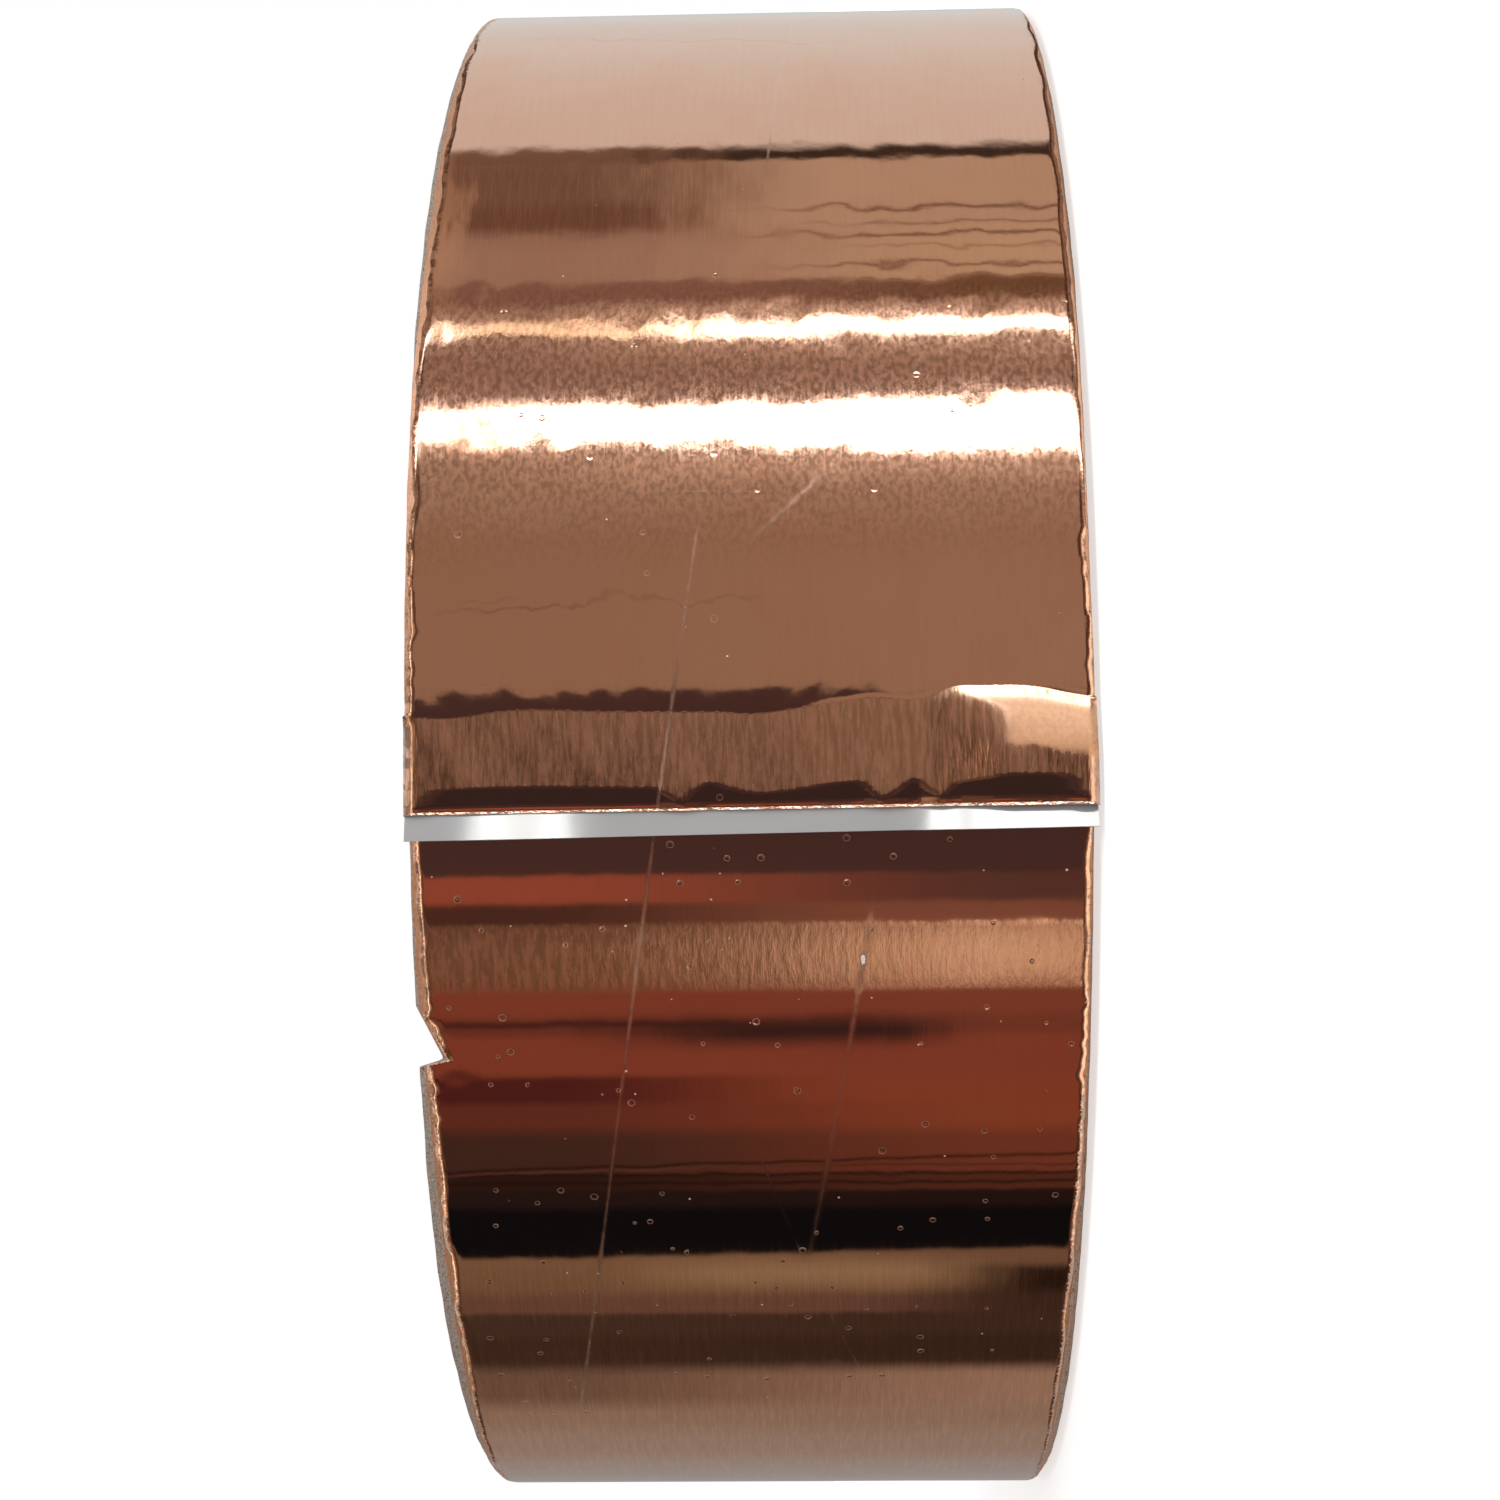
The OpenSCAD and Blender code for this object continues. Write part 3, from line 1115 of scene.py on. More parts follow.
    def path(self, radius: float, z: np.ndarray, shares: np.ndarray) -> tuple[np.ndarray, ...]:
        """Follows the lifted foil from the crease to its tip, which lies under the tip's line.

        Args:
            radius: Radius of the roll at the crease.
            z: Heights, along the last axis.
            shares: Shares of the length, from 0 at the crease to 1 at the tip.

        Returns:
            x and y at each share and height, the tilt in degrees, and the length at each height.
        """
        crease = np.radians(self.crease_angle(z))
        middle = (shares[1:] + shares[:-1]) / 2
        tilt = np.radians(self.tilt(middle[:, None], z[None, :]))
        x, y, length = lay_out(tilt, np.diff(shares)[:, None], radius * np.sin(crease),
                               -radius * np.cos(crease), self.tip_line(z))
        return x, y, self.tilt(shares[:, None], z[None, :]), length


@dataclass
class OuterTurn:
    """The outermost turn of foil, from its lifted end once round the roll to under itself."""

    roll: Roll
    end: FreeEnd
    rolled: Span = (0.58, 0.42)
    edge_drop: float = 0.33
    flap_rolled: Span = (0.9, 0.8)
    flap_drop: float = 0.34
    dent: float = 0.014
    press: float = 0.03
    curl: float = 0.10
    sunk: Pairs = (
        (-25.2, -0.013), (-23.0, -0.008), (-20.0, -0.002), (-14.4, -0.004), (-12.5, -0.012),
        (-10.5, -0.006), (-8.5, 0.0), (0.0, -0.008), (10.0, -0.004), (18.0, -0.009),
        (25.0, -0.013))
    frill: Waves = Waves((1.3, 2.3, 4.1, 7.7, 13.0), 0.4, 23)
    ruck: Waves = Waves((5.7, 8.7, 13.9), 0.0034, 25)

    def _across(self) -> np.ndarray:
        """Places the columns across the tape, closer at both edges and by the folds of the tip.

        Returns:
            Shares of the way across.
        """
        near = np.array([0.0, 0.05, 0.12, 0.22, 0.38, 0.60, 0.90])
        middle = stations((1.3, 9.0, 0.62), (9.0, 18.0, 0.36), (18.0, 27.0, 0.62),
                          (27.0, 32.6, 0.36), (32.6, 48.7, 0.62))
        return np.concatenate([near, middle, 50 - near[::-1]]) / 50

    def _relief(self, angle: np.ndarray, z: np.ndarray, from_crease: np.ndarray,
                from_edge: np.ndarray) -> np.ndarray:
        """How far the wound foil stands out from a true cylinder.

        Its edges bend down by a square law, it sinks or stands out a little before the crease, it
        is knocked in beside the nick, and the nick's own rim curls up.

        Args:
            angle: Place round the roll, in degrees.
            z: Height on the roll.
            from_crease: Length along the tape from the crease.
            from_edge: Distance from the nearest edge of the tape.

        Returns:
            Millimetres outwards.
        """
        roll = self.roll
        width = np.where(z > 0, *self.rolled) * (1 + self.frill.at(from_crease, np.sign(z) * 40))
        edge = rolled_edge(self.edge_drop, width, from_edge)
        ruck = self.ruck.at(z) * smooth(z, -10.0, -5.0)
        sink = -(through(self.sunk, z) + ruck) * np.exp(-from_crease / 1.0)
        round_nick = np.radians((angle - roll.nick.at + 180) % 360 - 180) * roll.radius
        dent = -self.dent * np.exp(-((round_nick + 1.6) / 1.1) ** 2 - ((z - 22.0) / 1.2) ** 2)
        press = (-self.press * np.exp(-((round_nick - 0.8) / 1.5) ** 2)
                 * np.exp(-(from_edge / 0.5) ** 2))
        beads = 1 + 0.9 * np.sin(round_nick * 7.1) * np.sin(round_nick * 2.9 + 1.0)
        curl = (self.curl * beads * np.exp(-((round_nick - 1.8) / 2.6) ** 2)
                * np.exp(-(from_edge / 0.22) ** 2))
        return edge + sink + (dent + press + curl) * (z > 0)

    def _wound(self, across: np.ndarray) -> tuple[np.ndarray, ...]:
        """Rows of the wound foil, on a spiral that loses one turn's thickness in a full turn.

        The first rows lie along the crease, and further on they turn straight across the tape.

        Args:
            across: Shares of the way across the tape.

        Returns:
            Outer points, inner points, texture places, and distances from the nearest edge.
        """
        roll = self.roll
        turned = stations((0, 10, 0.28), (10, 62, 0.9), (62, 285, 2.2), (285, 334, 0.9),
                          (334, 343.5, 0.14), (343.5, 362.5, 0.8))[:, None]
        turn = turned / 360
        top, low = (roll.edge_z(side, turn) for side in Side)
        z = low + (top - low) * across[None, :]
        lead = 1 - smooth(turned, 0, 10)
        angle = roll.end_at + turned + (self.end.crease_angle(z) - roll.end_at) * lead
        from_edge = np.minimum(top - z, z - low)
        from_crease = np.radians(turned) * roll.radius
        radius = roll.radius - roll.turn * turn + self._relief(angle, z, from_crease, from_edge)
        place = np.stack([from_crease + 0 * z, z], -1)
        return around(angle, radius, z), around(angle, radius - roll.tape, z), place, from_edge

    def _lifted(self, across: np.ndarray, shares: np.ndarray) -> tuple[np.ndarray, ...]:
        """Rows of the lifted foil, on the free end's path, with its edges bent down.

        Args:
            across: Shares of the way across the tape.
            shares: Shares of the way from the crease to the tip.

        Returns:
            Outer points, inner points, texture places, and distances from the nearest edge.
        """
        half = self.end.half_width
        z = -half + 2 * half * across
        x, y, tilt, length = self.end.path(self.roll.radius, z, shares)
        from_edge = np.broadcast_to(np.minimum(half - z, z + half), x.shape)
        a = np.radians(tilt)
        outward = np.stack([np.sin(a), -np.cos(a), 0 * a], -1)
        droop = (rolled_edge(self.flap_drop, np.where(z > 0, *self.flap_rolled), from_edge)
                 * smooth(shares, 0, 0.15)[:, None])
        height = np.broadcast_to(z, x.shape)
        outer = np.stack([x, y, height], -1) + outward * droop[..., None]
        place = np.stack([-shares[:, None] * length, height], -1)
        return outer, outer - outward * self.roll.tape, place, from_edge

    def build(self, face: bpy.types.Material) -> bpy.types.Object:
        """Builds the foil as a closed shell, in rows across the tape from its tip onwards.

        The underside is the same surface moved in by the thickness of foil and adhesive.

        Args:
            face: Finish of the foil.

        Returns:
            The piece.
        """
        across = self._across()
        shares = stations((0, 0.12, 0.015), (0.12, 0.70, 0.035), (0.70, 0.94, 0.009),
                          (0.94, 1.0, 0.005))
        parts = zip(self._lifted(across, shares), self._wound(across))
        outer, inner, place, rim = (np.concatenate([flap[:0:-1], wound]) for flap, wound in parts)
        flap_z = outer[:len(shares) - 1, :, 2]
        still = np.zeros((len(rim) - len(flap_z), len(across)))
        marks = {name: np.concatenate([mark(shares[:0:-1, None], flap_z), still])
                 for name, mark in (("shaded", self.end.shaded), ("burr", self.end.burr))}
        return make_shell("outer_turn", outer, inner, place, face, 35.0, {"rim": rim, **marks})


@dataclass
class LinerEnd:
    """The liner under the lifted foil, which shows past the cut foil and stands off the roll."""

    roll: Roll
    end: FreeEnd
    shown: Span = (1.60, 1.88)
    half_width: float = 24.98
    inset: float = 0.10
    lead: float = 0.5
    lifted: Pairs = ((-25, 13.0), (-17, 12.0), (-13, 6.0), (25, 4.5))
    dip: float = 6.5
    flare: float = 16.0
    corner_flare: float = 8.4
    corner_from: Span = (11.6, 12.6)
    middle_flare: float = 8.3
    middle_at: float = 16.5
    middle_over: float = 5.6
    columns: int = 52
    rows: int = 60

    def _tilt(self, share: np.ndarray, z: np.ndarray) -> np.ndarray:
        """Angle that the liner faces, from the front towards +X.

        It is lifted as the foil is, dips behind the shaded stretch, and flares outwards past the
        cut foil, most at the raised corner and round one height above the middle.

        Args:
            share: Share of the way to the liner's tip.
            z: Height on the roll.

        Returns:
            Angles in degrees.
        """
        flare = (self.flare + self.corner_flare * smooth(-z, *self.corner_from)
                 + self.middle_flare * np.exp(-((z - self.middle_at) / self.middle_over) ** 4))
        return (np.interp(z, *np.array(self.lifted).T) * (1 - smooth(share, 0.30, 0.55))
                - self.dip * smooth(share, 0.35, 0.60) * (1 - smooth(share, 0.61, 0.75))
                + flare * smooth(share, 0.61, 0.78))

    def build(self, finish: bpy.types.Material) -> bpy.types.Object:
        """Builds the liner as a closed strip, which starts inside the roll below the lifted foil.

        Args:
            finish: Finish of the paper.

        Returns:
            The piece.
        """
        roll, end = self.roll, self.end
        z = np.linspace(-self.half_width, self.half_width, self.columns)
        crease = np.radians(end.crease_angle(z) - self.lead)
        radius = roll.radius - roll.tape - self.inset
        shares = np.linspace(0, 1, self.rows)[:, None]
        tilt = self._tilt((shares[1:] + shares[:-1]) / 2, z)
        x, y, length = lay_out(np.radians(tilt), 1 / (self.rows - 1), radius * np.sin(crease),
                               -radius * np.cos(crease), end.tip_line(z, self.shown))
        full = np.radians(np.concatenate([tilt[:1], (tilt[1:] + tilt[:-1]) / 2, tilt[-1:]]))
        height = np.broadcast_to(z, x.shape)
        outer = np.stack([x, y, height], -1)
        inner = outer - np.stack([np.sin(full), -np.cos(full), 0 * full], -1) * roll.liner
        place = np.stack([shares * length, height], -1)
        return make_shell("liner_end", outer[::-1], inner[::-1], place[::-1], finish)


@dataclass
class CoreTube:
    """The board core: a thick tube with softened ends and a helical seam in its bore."""

    bore: float
    outside: float
    half_length: float
    rounding: float = 0.35
    seam_pitch: float = 95.0
    seam_depth: float = 0.12
    seam_half_width: float = 0.55
    plies: Waves = Waves((0.9, 1.7, 2.9), 0.05, 31)
    frays: Waves = Waves((3.1, 7.7, 14.0), 0.04, 32)
    columns: int = 360
    rows: int = 34

    def build(self, finish: bpy.types.Material) -> bpy.types.Object:
        """Builds the tube.

        Its section is a closed loop: the outside, a rounded end, the bore and the other rounded
        end. The bore sinks by a hair along a helix, where the edges of the last strip meet.

        Args:
            finish: Finish of the board.

        Returns:
            The piece.
        """
        r, h, rows = self.rounding, self.half_length, self.rows
        a = np.radians(np.linspace(0, 90, 5))
        up = np.linspace(-h + r, h - r, rows)
        wall = np.linspace(self.outside - r, self.bore + r, 9)[1:-1]
        flat = np.full(len(wall), h)
        radii = np.concatenate([
            np.full(rows, self.outside), self.outside - r + r * np.cos(a[1:]), wall,
            self.bore + r - r * np.sin(a), np.full(rows - 2, self.bore),
            self.bore + r - r * np.cos(a), wall[::-1], self.outside - r + r * np.sin(a[:-1])])
        heights = np.concatenate([
            up, h - r + r * np.sin(a[1:]), flat, h - r + r * np.cos(a), up[-2:0:-1],
            -h + r - r * np.sin(a), -flat, -h + r - r * np.cos(a[:-1])])
        angles = np.linspace(0, 360, self.columns, endpoint=False)[:, None]
        radius, height = np.broadcast_arrays(radii, heights, angles)[:2]
        end = smooth(np.abs(height), h - 1.0, h)
        worn = np.abs(self.plies.at(radius) * end + self.frays.at(angles * 0.7, radius) * end)
        turned = (angles / 360 * self.seam_pitch - height) % self.seam_pitch
        off_seam = (turned - self.seam_pitch / 2) / self.seam_half_width
        in_bore = smooth(-radius, -self.bore - 0.3, -self.bore - 0.05)
        points = around(angles, radius + self.seam_depth * np.exp(-off_seam ** 2) * in_bore,
                        height - np.sign(height) * worn)
        number = np.pad(np.arange(radius.size).reshape(radius.shape), (0, 1), "wrap")
        return make_piece("core_tube", points.reshape(-1, 3), grid_quads(number), [finish],
                          sharp=50.0)


# The room.


@dataclass(frozen=True)
class RoomBand:
    """Something in the room that the foil reflects, from an angle round the roll to the next.

    Its colour turns from the lower to the upper one over a span of slopes, and without a lower one
    it has the same colour throughout.
    """

    name: str
    start: float
    upper: Colour
    lower: Colour | None = None
    soft: float = 0.35
    slant: float = 0.0
    turns_at: Span = (-0.10, 0.12)


@dataclass(frozen=True)
class RoomLine:
    """A thin line in the room, such as a joint between boards.

    It shows between two slopes, over a span of slopes at each, and may lean with the slope.
    """

    name: str
    at: float
    half_width: float
    colour: Colour
    ends: Span = (0.40, 0.50)
    starts: Span = (-0.50, -0.40)
    lean: float = 0.0


@dataclass(frozen=True)
class Storey:
    """What takes over from the bands at a steeper slope, upwards or downwards.

    It may reach only to some angle round the roll.
    """

    name: str
    slope: float
    soft: float
    colour: Colour
    until: float | None = None


@dataclass(frozen=True)
class Room:
    """What surrounds the roll: white to the camera, even light, and bands to the foil's gloss."""

    light: float = 0.62
    behind: Colour = (0.345, 0.335, 0.330)
    storeys_from: Span = (-165.0, -145.0)
    storeys_soft: float = 6.0
    bands: tuple[RoomBand, ...] = (
        RoomBand("near table", -135.0, (0.335, 0.300, 0.265), soft=5.0),
        RoomBand("near table going into shade", -122.0, (0.300, 0.255, 0.210), (0.315, 0.268, 0.222), 4.0),
        RoomBand("near table in shade", -113.5, (0.175, 0.128, 0.098), (0.350, 0.275, 0.220), 3.5),
        RoomBand("near table's edge", -103.0, (0.058, 0.038, 0.030), (0.046, 0.031, 0.024), 2.2),
        RoomBand("step over the edge", -95.0, (0.068, 0.046, 0.036), (0.058, 0.038, 0.030), 1.2),
        RoomBand("floor boards in shade", -89.8, (0.155, 0.098, 0.078), (0.055, 0.036, 0.028), soft=0.6,
                 turns_at=(-0.09, 0.0)),
        RoomBand("floor boards", -85.5, (0.200, 0.138, 0.088), (0.024, 0.015, 0.011), soft=1.5,
                 turns_at=(-0.10, -0.02)),
        RoomBand("floor boards by the skirting", -80.3, (0.205, 0.142, 0.092), (0.165, 0.112, 0.076), 1.0),
        RoomBand("skirting", -76.8, (0.0056, 0.0058, 0.0078), (0.0052, 0.0054, 0.0072), 0.5, 1.5),
        RoomBand("skirting's top", -69.0, (0.018, 0.012, 0.012), (0.016, 0.010, 0.010), 1.0),
        RoomBand("moulding", -66.0, (0.026, 0.014, 0.011), (0.085, 0.032, 0.022), 0.3),
        RoomBand("brown panel's foot", -63.0, (0.050, 0.028, 0.022), (0.150, 0.050, 0.030), 0.3),
        RoomBand("brown panel", -56.2, (0.115, 0.036, 0.027), (0.215, 0.066, 0.034), 1.2),
        RoomBand("dark rail", -51.4, (0.070, 0.019, 0.018), (0.215, 0.064, 0.035), soft=0.9,
                 turns_at=(-0.03, 0.11)),
        RoomBand("cherry rail", -47.2, (0.203, 0.060, 0.038), (0.207, 0.062, 0.039), 0.6),
        RoomBand("gap", -41.0, (0.140, 0.045, 0.031), (0.160, 0.054, 0.036), 0.6),
        RoomBand("cherry board", -38.2, (0.200, 0.062, 0.040), (0.190, 0.063, 0.042), 0.8),
        RoomBand("oak board", -33.2, (0.188, 0.116, 0.074), (0.930, 0.700, 0.505), 0.7, 0.6, (-0.10, 0.066)),
        RoomBand("dark shelf", -24.7, (0.066, 0.032, 0.026), (0.195, 0.090, 0.062), soft=0.5,
                 turns_at=(-0.04, 0.12)),
        RoomBand("red shelf", -21.6, (0.270, 0.084, 0.052), (0.090, 0.047, 0.040), 0.5),
        RoomBand("camera", -17.5, (0.061, 0.036, 0.035), soft=0.3),
        RoomBand("near wall", 8.2, (0.282, 0.196, 0.142), (0.308, 0.216, 0.158), 0.3),
        RoomBand("wall under the wide lamp", 33.0, (0.35, 0.27, 0.21), (0.37, 0.28, 0.215), 4.0),
        RoomBand("wide lamp", 42.3, (5.5, 5.5, 5.4), soft=0.25, slant=-2.3),
        RoomBand("wall between the lamps", 50.4, (0.285, 0.205, 0.165), (0.30, 0.220, 0.175), 0.3, 0.8),
        RoomBand("slim lamp", 60.75, (1.75, 1.55, 1.15), (4.8, 4.8, 4.6), 0.3, -1.0, (0.01, 0.09)),
        RoomBand("glow over the slim lamp", 63.6, (0.34, 0.25, 0.20), (0.47, 0.365, 0.29), slant=0.35,
                 turns_at=(0.02, 0.12)),
        RoomBand("shelf", 66.3, (0.215, 0.135, 0.105), (0.150, 0.088, 0.050), soft=0.7,
                 turns_at=(-0.10, 0.04)),
        RoomBand("high wall under the rail", 70.3, (0.325, 0.235, 0.190), (0.480, 0.385, 0.280), soft=0.5,
                 turns_at=(-0.08, 0.10)),
        RoomBand("rail", 80.0, (0.185, 0.108, 0.078), (0.445, 0.355, 0.270), soft=1.4, turns_at=(0.01, 0.08)),
        RoomBand("high wall", 85.5, (0.210, 0.135, 0.100), (0.450, 0.365, 0.280), soft=1.6,
                 turns_at=(-0.02, 0.10)),
        RoomBand("table's edge", 94.9, (0.180, 0.120, 0.088), (0.042, 0.028, 0.021), soft=0.6,
                 turns_at=(0.01, 0.09)),
        RoomBand("far table", 97.7, (0.64, 0.63, 0.60), soft=1.05, slant=-0.6),
        RoomBand("far table in haze", 118.0, (0.68, 0.72, 0.72), soft=14.0),
        RoomBand("behind", 164.0, (0.345, 0.335, 0.330), soft=14.0),
    )
    lines: tuple[RoomLine, ...] = (
        RoomLine("moulding's lower joint", -64.7, 0.40, (0.012, 0.007, 0.007)),
        RoomLine("moulding's upper joint", -63.3, 0.42, (0.012, 0.007, 0.007)),
        RoomLine("scribed line", -61.9, 0.30, (0.055, 0.020, 0.014), (-0.03, 0.03)),
        RoomLine("panel's joint", -61.1, 0.36, (0.010, 0.005, 0.005), lean=-9.3),
        RoomLine("lit edge of the joint", -61.7, 0.28, (0.110, 0.050, 0.038), starts=(0.02, 0.07), lean=-9.3),
        RoomLine("camera's middle", -8.0, 5.5, (0.036, 0.025, 0.024), (0.50, 0.60), (-0.60, -0.50)),
        RoomLine("thin gap", -39.2, 0.90, (0.055, 0.020, 0.018), starts=(-0.01, 0.04)),
        RoomLine("wide gap", -40.4, 3.50, (0.036, 0.019, 0.018), (0.02, 0.12), (-0.075, -0.03)),
        RoomLine("lit boards by the skirting", -81.6, 4.8, (0.300, 0.235, 0.150), (0.03, 0.10),
                 (-0.09, -0.03)),
        RoomLine("glow under the wide lamp", 40.2, 3.6, (0.55, 0.43, 0.345), (0.05, 0.13)),
        RoomLine("glow under the slim lamp", 58.8, 3.2, (0.42, 0.32, 0.255), (0.05, 0.13)),
        RoomLine("wide lamp's dim stretch", 46.5, 5.0, (2.20, 1.65, 1.30), (0.146, 0.158), (0.118, 0.132)),
        RoomLine("lit end of the wall", 81.0, 22.0, (0.420, 0.300, 0.215), starts=(0.138, 0.150)),
        RoomLine("rail's line", 83.9, 0.60, (0.150, 0.085, 0.055), (-0.04, 0.04)),
        RoomLine("rail's second line", 81.1, 0.40, (0.230, 0.150, 0.105), (-0.05, 0.02)),
        RoomLine("wall's upper joint", 76.2, 0.35, (0.270, 0.190, 0.135), (-0.06, 0.01)),
        RoomLine("rail's shadow", 78.7, 0.60, (0.150, 0.085, 0.055), (-0.04, 0.04)),
        RoomLine("wall's joint", 73.0, 0.50, (0.170, 0.095, 0.062), (-0.04, 0.03)),
        RoomLine("wall's low joint", 70.6, 0.45, (0.190, 0.110, 0.070), (-0.04, 0.0)),
        RoomLine("wide lamp's upper end", 47.0, 5.5, (5.5, 5.5, 5.4), (0.60, 0.80), (0.17, 0.26)),
        RoomLine("wide lamp's lower end", 47.0, 5.5, (5.5, 5.5, 5.4), (-0.26, -0.16), (-0.80, -0.60)),
        RoomLine("slim lamp's upper end", 62.3, 2.0, (4.5, 4.5, 4.4), (0.50, 0.70), (0.145, 0.165)),
        RoomLine("slim lamp's lower end", 62.2, 1.8, (4.0, 4.0, 3.9), (-0.26, -0.16), (-0.70, -0.50)),
    )
    above: tuple[Storey, ...] = (
        Storey("upper shadow", 0.235, 0.025, (0.115, 0.070, 0.050)),
        Storey("high wall", 0.38, 0.04, (0.26, 0.185, 0.135)),
        Storey("high wall in front", 0.38, 0.04, (0.46, 0.30, 0.19), 34.0),
        Storey("high lamp", 0.58, 0.03, (2.20, 1.90, 1.50), 34.0),
        Storey("coving", 0.70, 0.04, (0.30, 0.23, 0.18)),
        Storey("ceiling", 1.10, 0.25, (0.60, 0.56, 0.52)),
        Storey("overhead", 2.20, 0.80, (0.80, 0.78, 0.75)),
    )
    below: tuple[Storey, ...] = (
        Storey("lower shadow", 0.17, 0.025, (0.085, 0.045, 0.034)),
        Storey("low wall", 0.32, 0.04, (0.25, 0.175, 0.13)),
        Storey("lit ground", 0.48, 0.10, (1.40, 1.15, 0.90), 34.0),
        Storey("ground", 1.20, 0.40, (0.62, 0.60, 0.58)),
    )

    def build(self) -> None:
        """Builds the world, in which each band in order takes over from its start onwards.

        A band is a smooth step up in the angle of the direction. Storeys take over at steeper
        slopes, and lines lie over them all. Only glossy rays see any of this: the camera sees
        white, and every other ray an even light.
        """
        world = bpy.data.worlds.new("room")
        bpy.context.scene.world = world
        world.use_nodes = True
        g = Graph(world.node_tree)
        x, y, z = g.split(g.add("ShaderNodeTexCoord", {}, {}, "Generated"))
        angle = g.round_angle(x, y)
        slope = z / from_axis(x, y).greatest(0.001)
        sides = {span: slope.rise(*span) for span in dict.fromkeys(b.turns_at for b in self.bands)}
        colour: Any = self.behind
        for band in self.bands:
            side = sides[band.turns_at]
            own = g.blend(side, band.lower, band.upper) if band.lower else band.upper
            shifted = angle + side * band.slant if band.slant else angle
            colour = g.blend(shifted.rise(band.start - band.soft, band.start + band.soft),
                             colour, own)
        for steep, storeys in ((slope, self.above), (-slope, self.below)):
            for storey in storeys:
                step = steep.rise(storey.slope - storey.soft, storey.slope + storey.soft)
                if storey.until is not None:
                    step = step * angle.within(*self.storeys_from, storey.until - self.storeys_soft,
                                               storey.until + self.storeys_soft)
                colour = g.blend(step, colour, storey.colour)
        for line in self.lines:
            spot = slope * line.lean + line.at if line.lean else line.at
            shown = angle.line(spot, line.half_width) * slope.within(*line.starts, *line.ends)
            colour = g.blend(shown, colour, line.colour)
        plain = g.blend(g.ray("Is Camera Ray"), (self.light,) * 3, WHITE)
        lights = [g.add("ShaderNodeBackground", {}, {"Color": seen}) for seen in (plain, colour)]
        g.show(g.add("ShaderNodeMixShader", {}, {0: g.ray("Is Glossy Ray"), 1: lights[0],
                                                 2: lights[1]}), "ShaderNodeOutputWorld")
        world.cycles.sampling_method = "NONE"


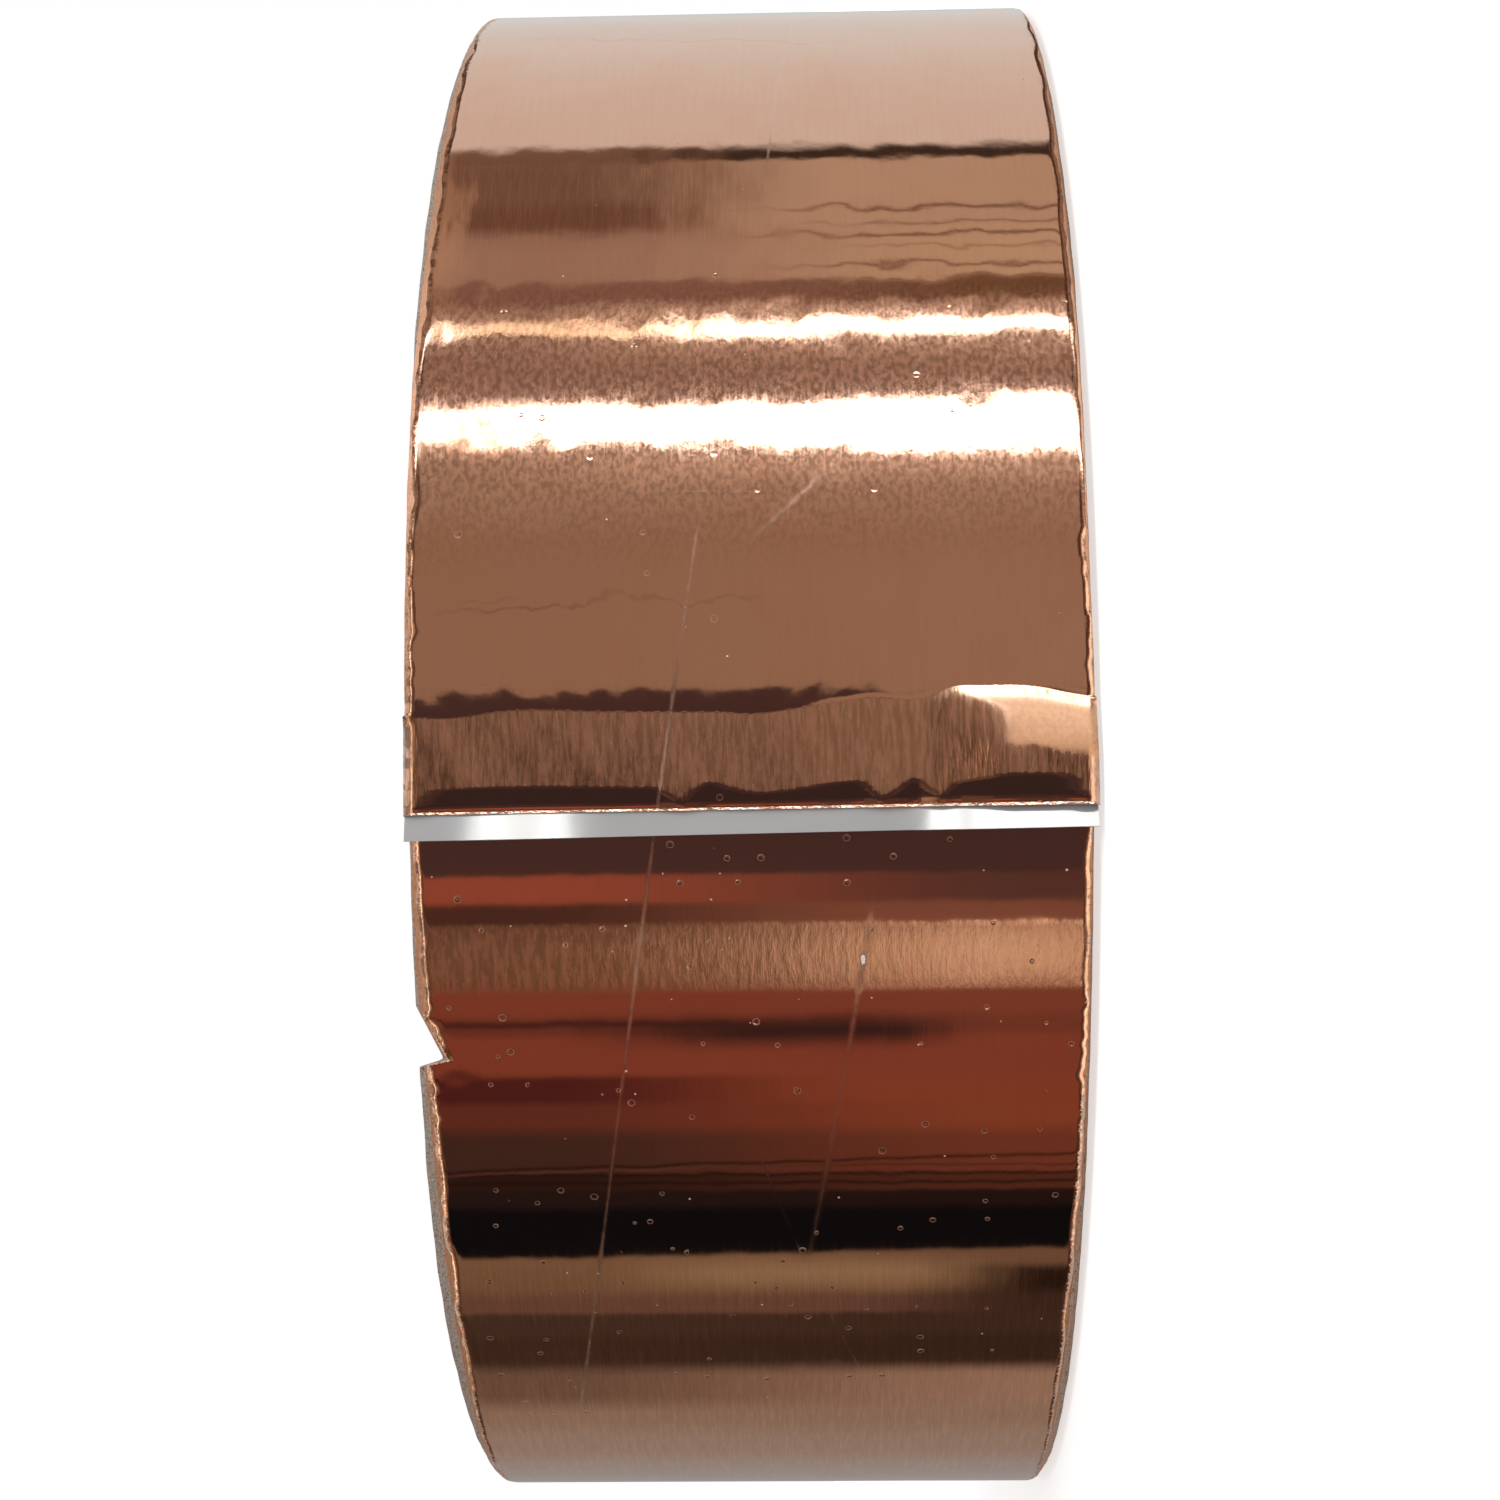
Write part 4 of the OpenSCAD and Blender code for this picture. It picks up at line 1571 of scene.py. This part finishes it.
@dataclass(frozen=True)
class Studio:
    """Floor, lamp and camera."""

    floor_z: float
    eye: Place = (0.0, -241.7, -4.28)
    target: Place = (-0.18, 0.0, 1.70)
    lean: float = -0.0118
    lens: float = 56.4
    sensor: float = 36.0
    floor_half: float = 2500.0
    floor_colour: Colour = (0.58, 0.58, 0.58)
    near_white: float = 0.62
    white_over: Span = (110.0, 420.0)
    lamp_at: Place = (550.0, -750.0, 750.0)
    lamp_size: Span = (900.0, 600.0)
    lamp_watts: float = 6.5

    def _floor_finish(self) -> bpy.types.Material:
        """Pale floor: a matt surface that takes shadow, lifted for the camera, and white far off.

        Returns:
            The material.
        """
        material, g = new_material("pale_floor")
        x, y, _ = g.object_place()
        far = from_axis(x, y).rise(*self.white_over, self.near_white, 1.0)
        matt = g.add("ShaderNodeBsdfDiffuse", {}, {"Color": self.floor_colour})
        lift = g.add("ShaderNodeEmission", {}, {"Color": WHITE,
                                                "Strength": g.ray("Is Camera Ray") * far})
        g.show(g.add("ShaderNodeAddShader", {}, {0: matt, 1: lift}))
        return material

    @staticmethod
    def _place(name: str, data: bpy.types.ID, matrix: Matrix) -> bpy.types.Object:
        """Puts a lamp or a camera into the scene.

        Args:
            name: The object's name.
            data: The lamp or camera.
            matrix: Its place and turn.

        Returns:
            The object.
        """
        holder = bpy.data.objects.new(name, data)
        holder.matrix_world = matrix
        bpy.context.scene.collection.objects.link(holder)
        return holder

    def build(self) -> None:
        """Builds the floor, a soft lamp and the camera."""
        corners = np.array([[-1, -1], [1, -1], [1, 1], [-1, 1]]) * self.floor_half
        points = np.concatenate([corners, np.full((4, 1), self.floor_z)], axis=1)
        floor = make_piece("floor", points, np.array([[0, 1, 2, 3]]), [self._floor_finish()])
        floor.visible_glossy = False

        lamp = bpy.data.lights.new("soft_lamp", "AREA")
        lamp.shape, lamp.energy = "RECTANGLE", self.lamp_watts
        lamp.size, lamp.size_y = np.multiply(self.lamp_size, MM)
        place = Vector(np.multiply(self.lamp_at, MM))
        aim = (-place).to_track_quat("-Z", "Y").to_matrix().to_4x4()
        holder = self._place("soft_lamp", lamp, Matrix.Translation(place) @ aim)
        holder.visible_glossy = False

        eye, target = Vector(self.eye) * MM, Vector(self.target) * MM
        ahead = (target - eye).normalized()
        right = ahead.cross(Vector((1, 0, 0))).normalized()
        up = right.cross(ahead)
        c, s = math.cos(self.lean), math.sin(self.lean)
        right, up = right * c + up * s, up * c - right * s
        lens = bpy.data.cameras.new("camera")
        lens.sensor_width, lens.lens, lens.clip_start = self.sensor, self.lens, 5 * MM
        axes = Matrix((right, up, -ahead)).transposed().to_4x4()
        bpy.context.scene.camera = self._place("camera", lens, Matrix.Translation(eye) @ axes)


@dataclass
class TapeRoll:
    """The whole roll: its core, its wound turns, its outermost turn and its liner."""

    roll: Roll = field(default_factory=Roll)
    end: FreeEnd = field(default_factory=FreeEnd)
    core_bore: float = 38.1
    rim_to: int = 8
    outer_to: int = 72

    @staticmethod
    def _keep(piece: bpy.types.Object, slot: str, node: str) -> None:
        """Lets a piece stand for a solid and ride on the one body.

        Args:
            piece: The piece.
            slot: Not used.
            node: Solid that it stands for.
        """
        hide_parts(node)
        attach(piece, "root")
        triangles = len(piece.data.loops) - 2 * len(piece.data.polygons)
        LOG.info("%s: %d triangles, for %s", piece.name, triangles, node)

    def build(self) -> None:
        """Builds every piece."""
        roll = self.roll
        _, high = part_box("core")
        board = BoardFinish().build()
        core = CoreTube(self.core_bore, high.x / MM, high.z / MM)
        self._keep(core.build(board), "core_board", "core")

        edge, steps = TurnEdgeFinish().build(), FoilEdgeFinish().build()
        fine = stations((0, 1, 1 / 900))[:-1]
        middle = stations((0, 333, 1.5), (333, 346, 0.14), (346, 360, 1.5))[:-1] / 360
        coarse = stations((0, 1, 1 / 240))[:-1]
        for name, first, last, columns in (
                ("rim_turns", 0, self.rim_to, fine),
                ("outer_turns", self.rim_to, self.outer_to, middle),
                ("inner_turns", self.outer_to, roll.turns, coarse)):
            turns = WoundTurns(roll, name, first, last, columns)
            self._keep(turns.build(edge, steps), "copper_foil", "copper_tape")

        foil = OuterTurn(roll, self.end).build(CopperFinish().build())
        self._keep(foil, "copper_foil", "copper_tape")
        liner = LinerEnd(roll, self.end).build(LinerFinish().build())
        self._keep(liner, "liner_paper", "release_liner")


def main() -> None:
    """Builds the room, the studio and the roll."""
    logging.basicConfig(level=logging.INFO, format="%(message)s")
    bpy.context.scene.view_settings.view_transform = "Standard"
    Room().build()
    Studio(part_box("core")[0].z / MM).build()
    TapeRoll().build()
    LOG.info("roll of tape built")


if __name__ == "__main__":
    main()
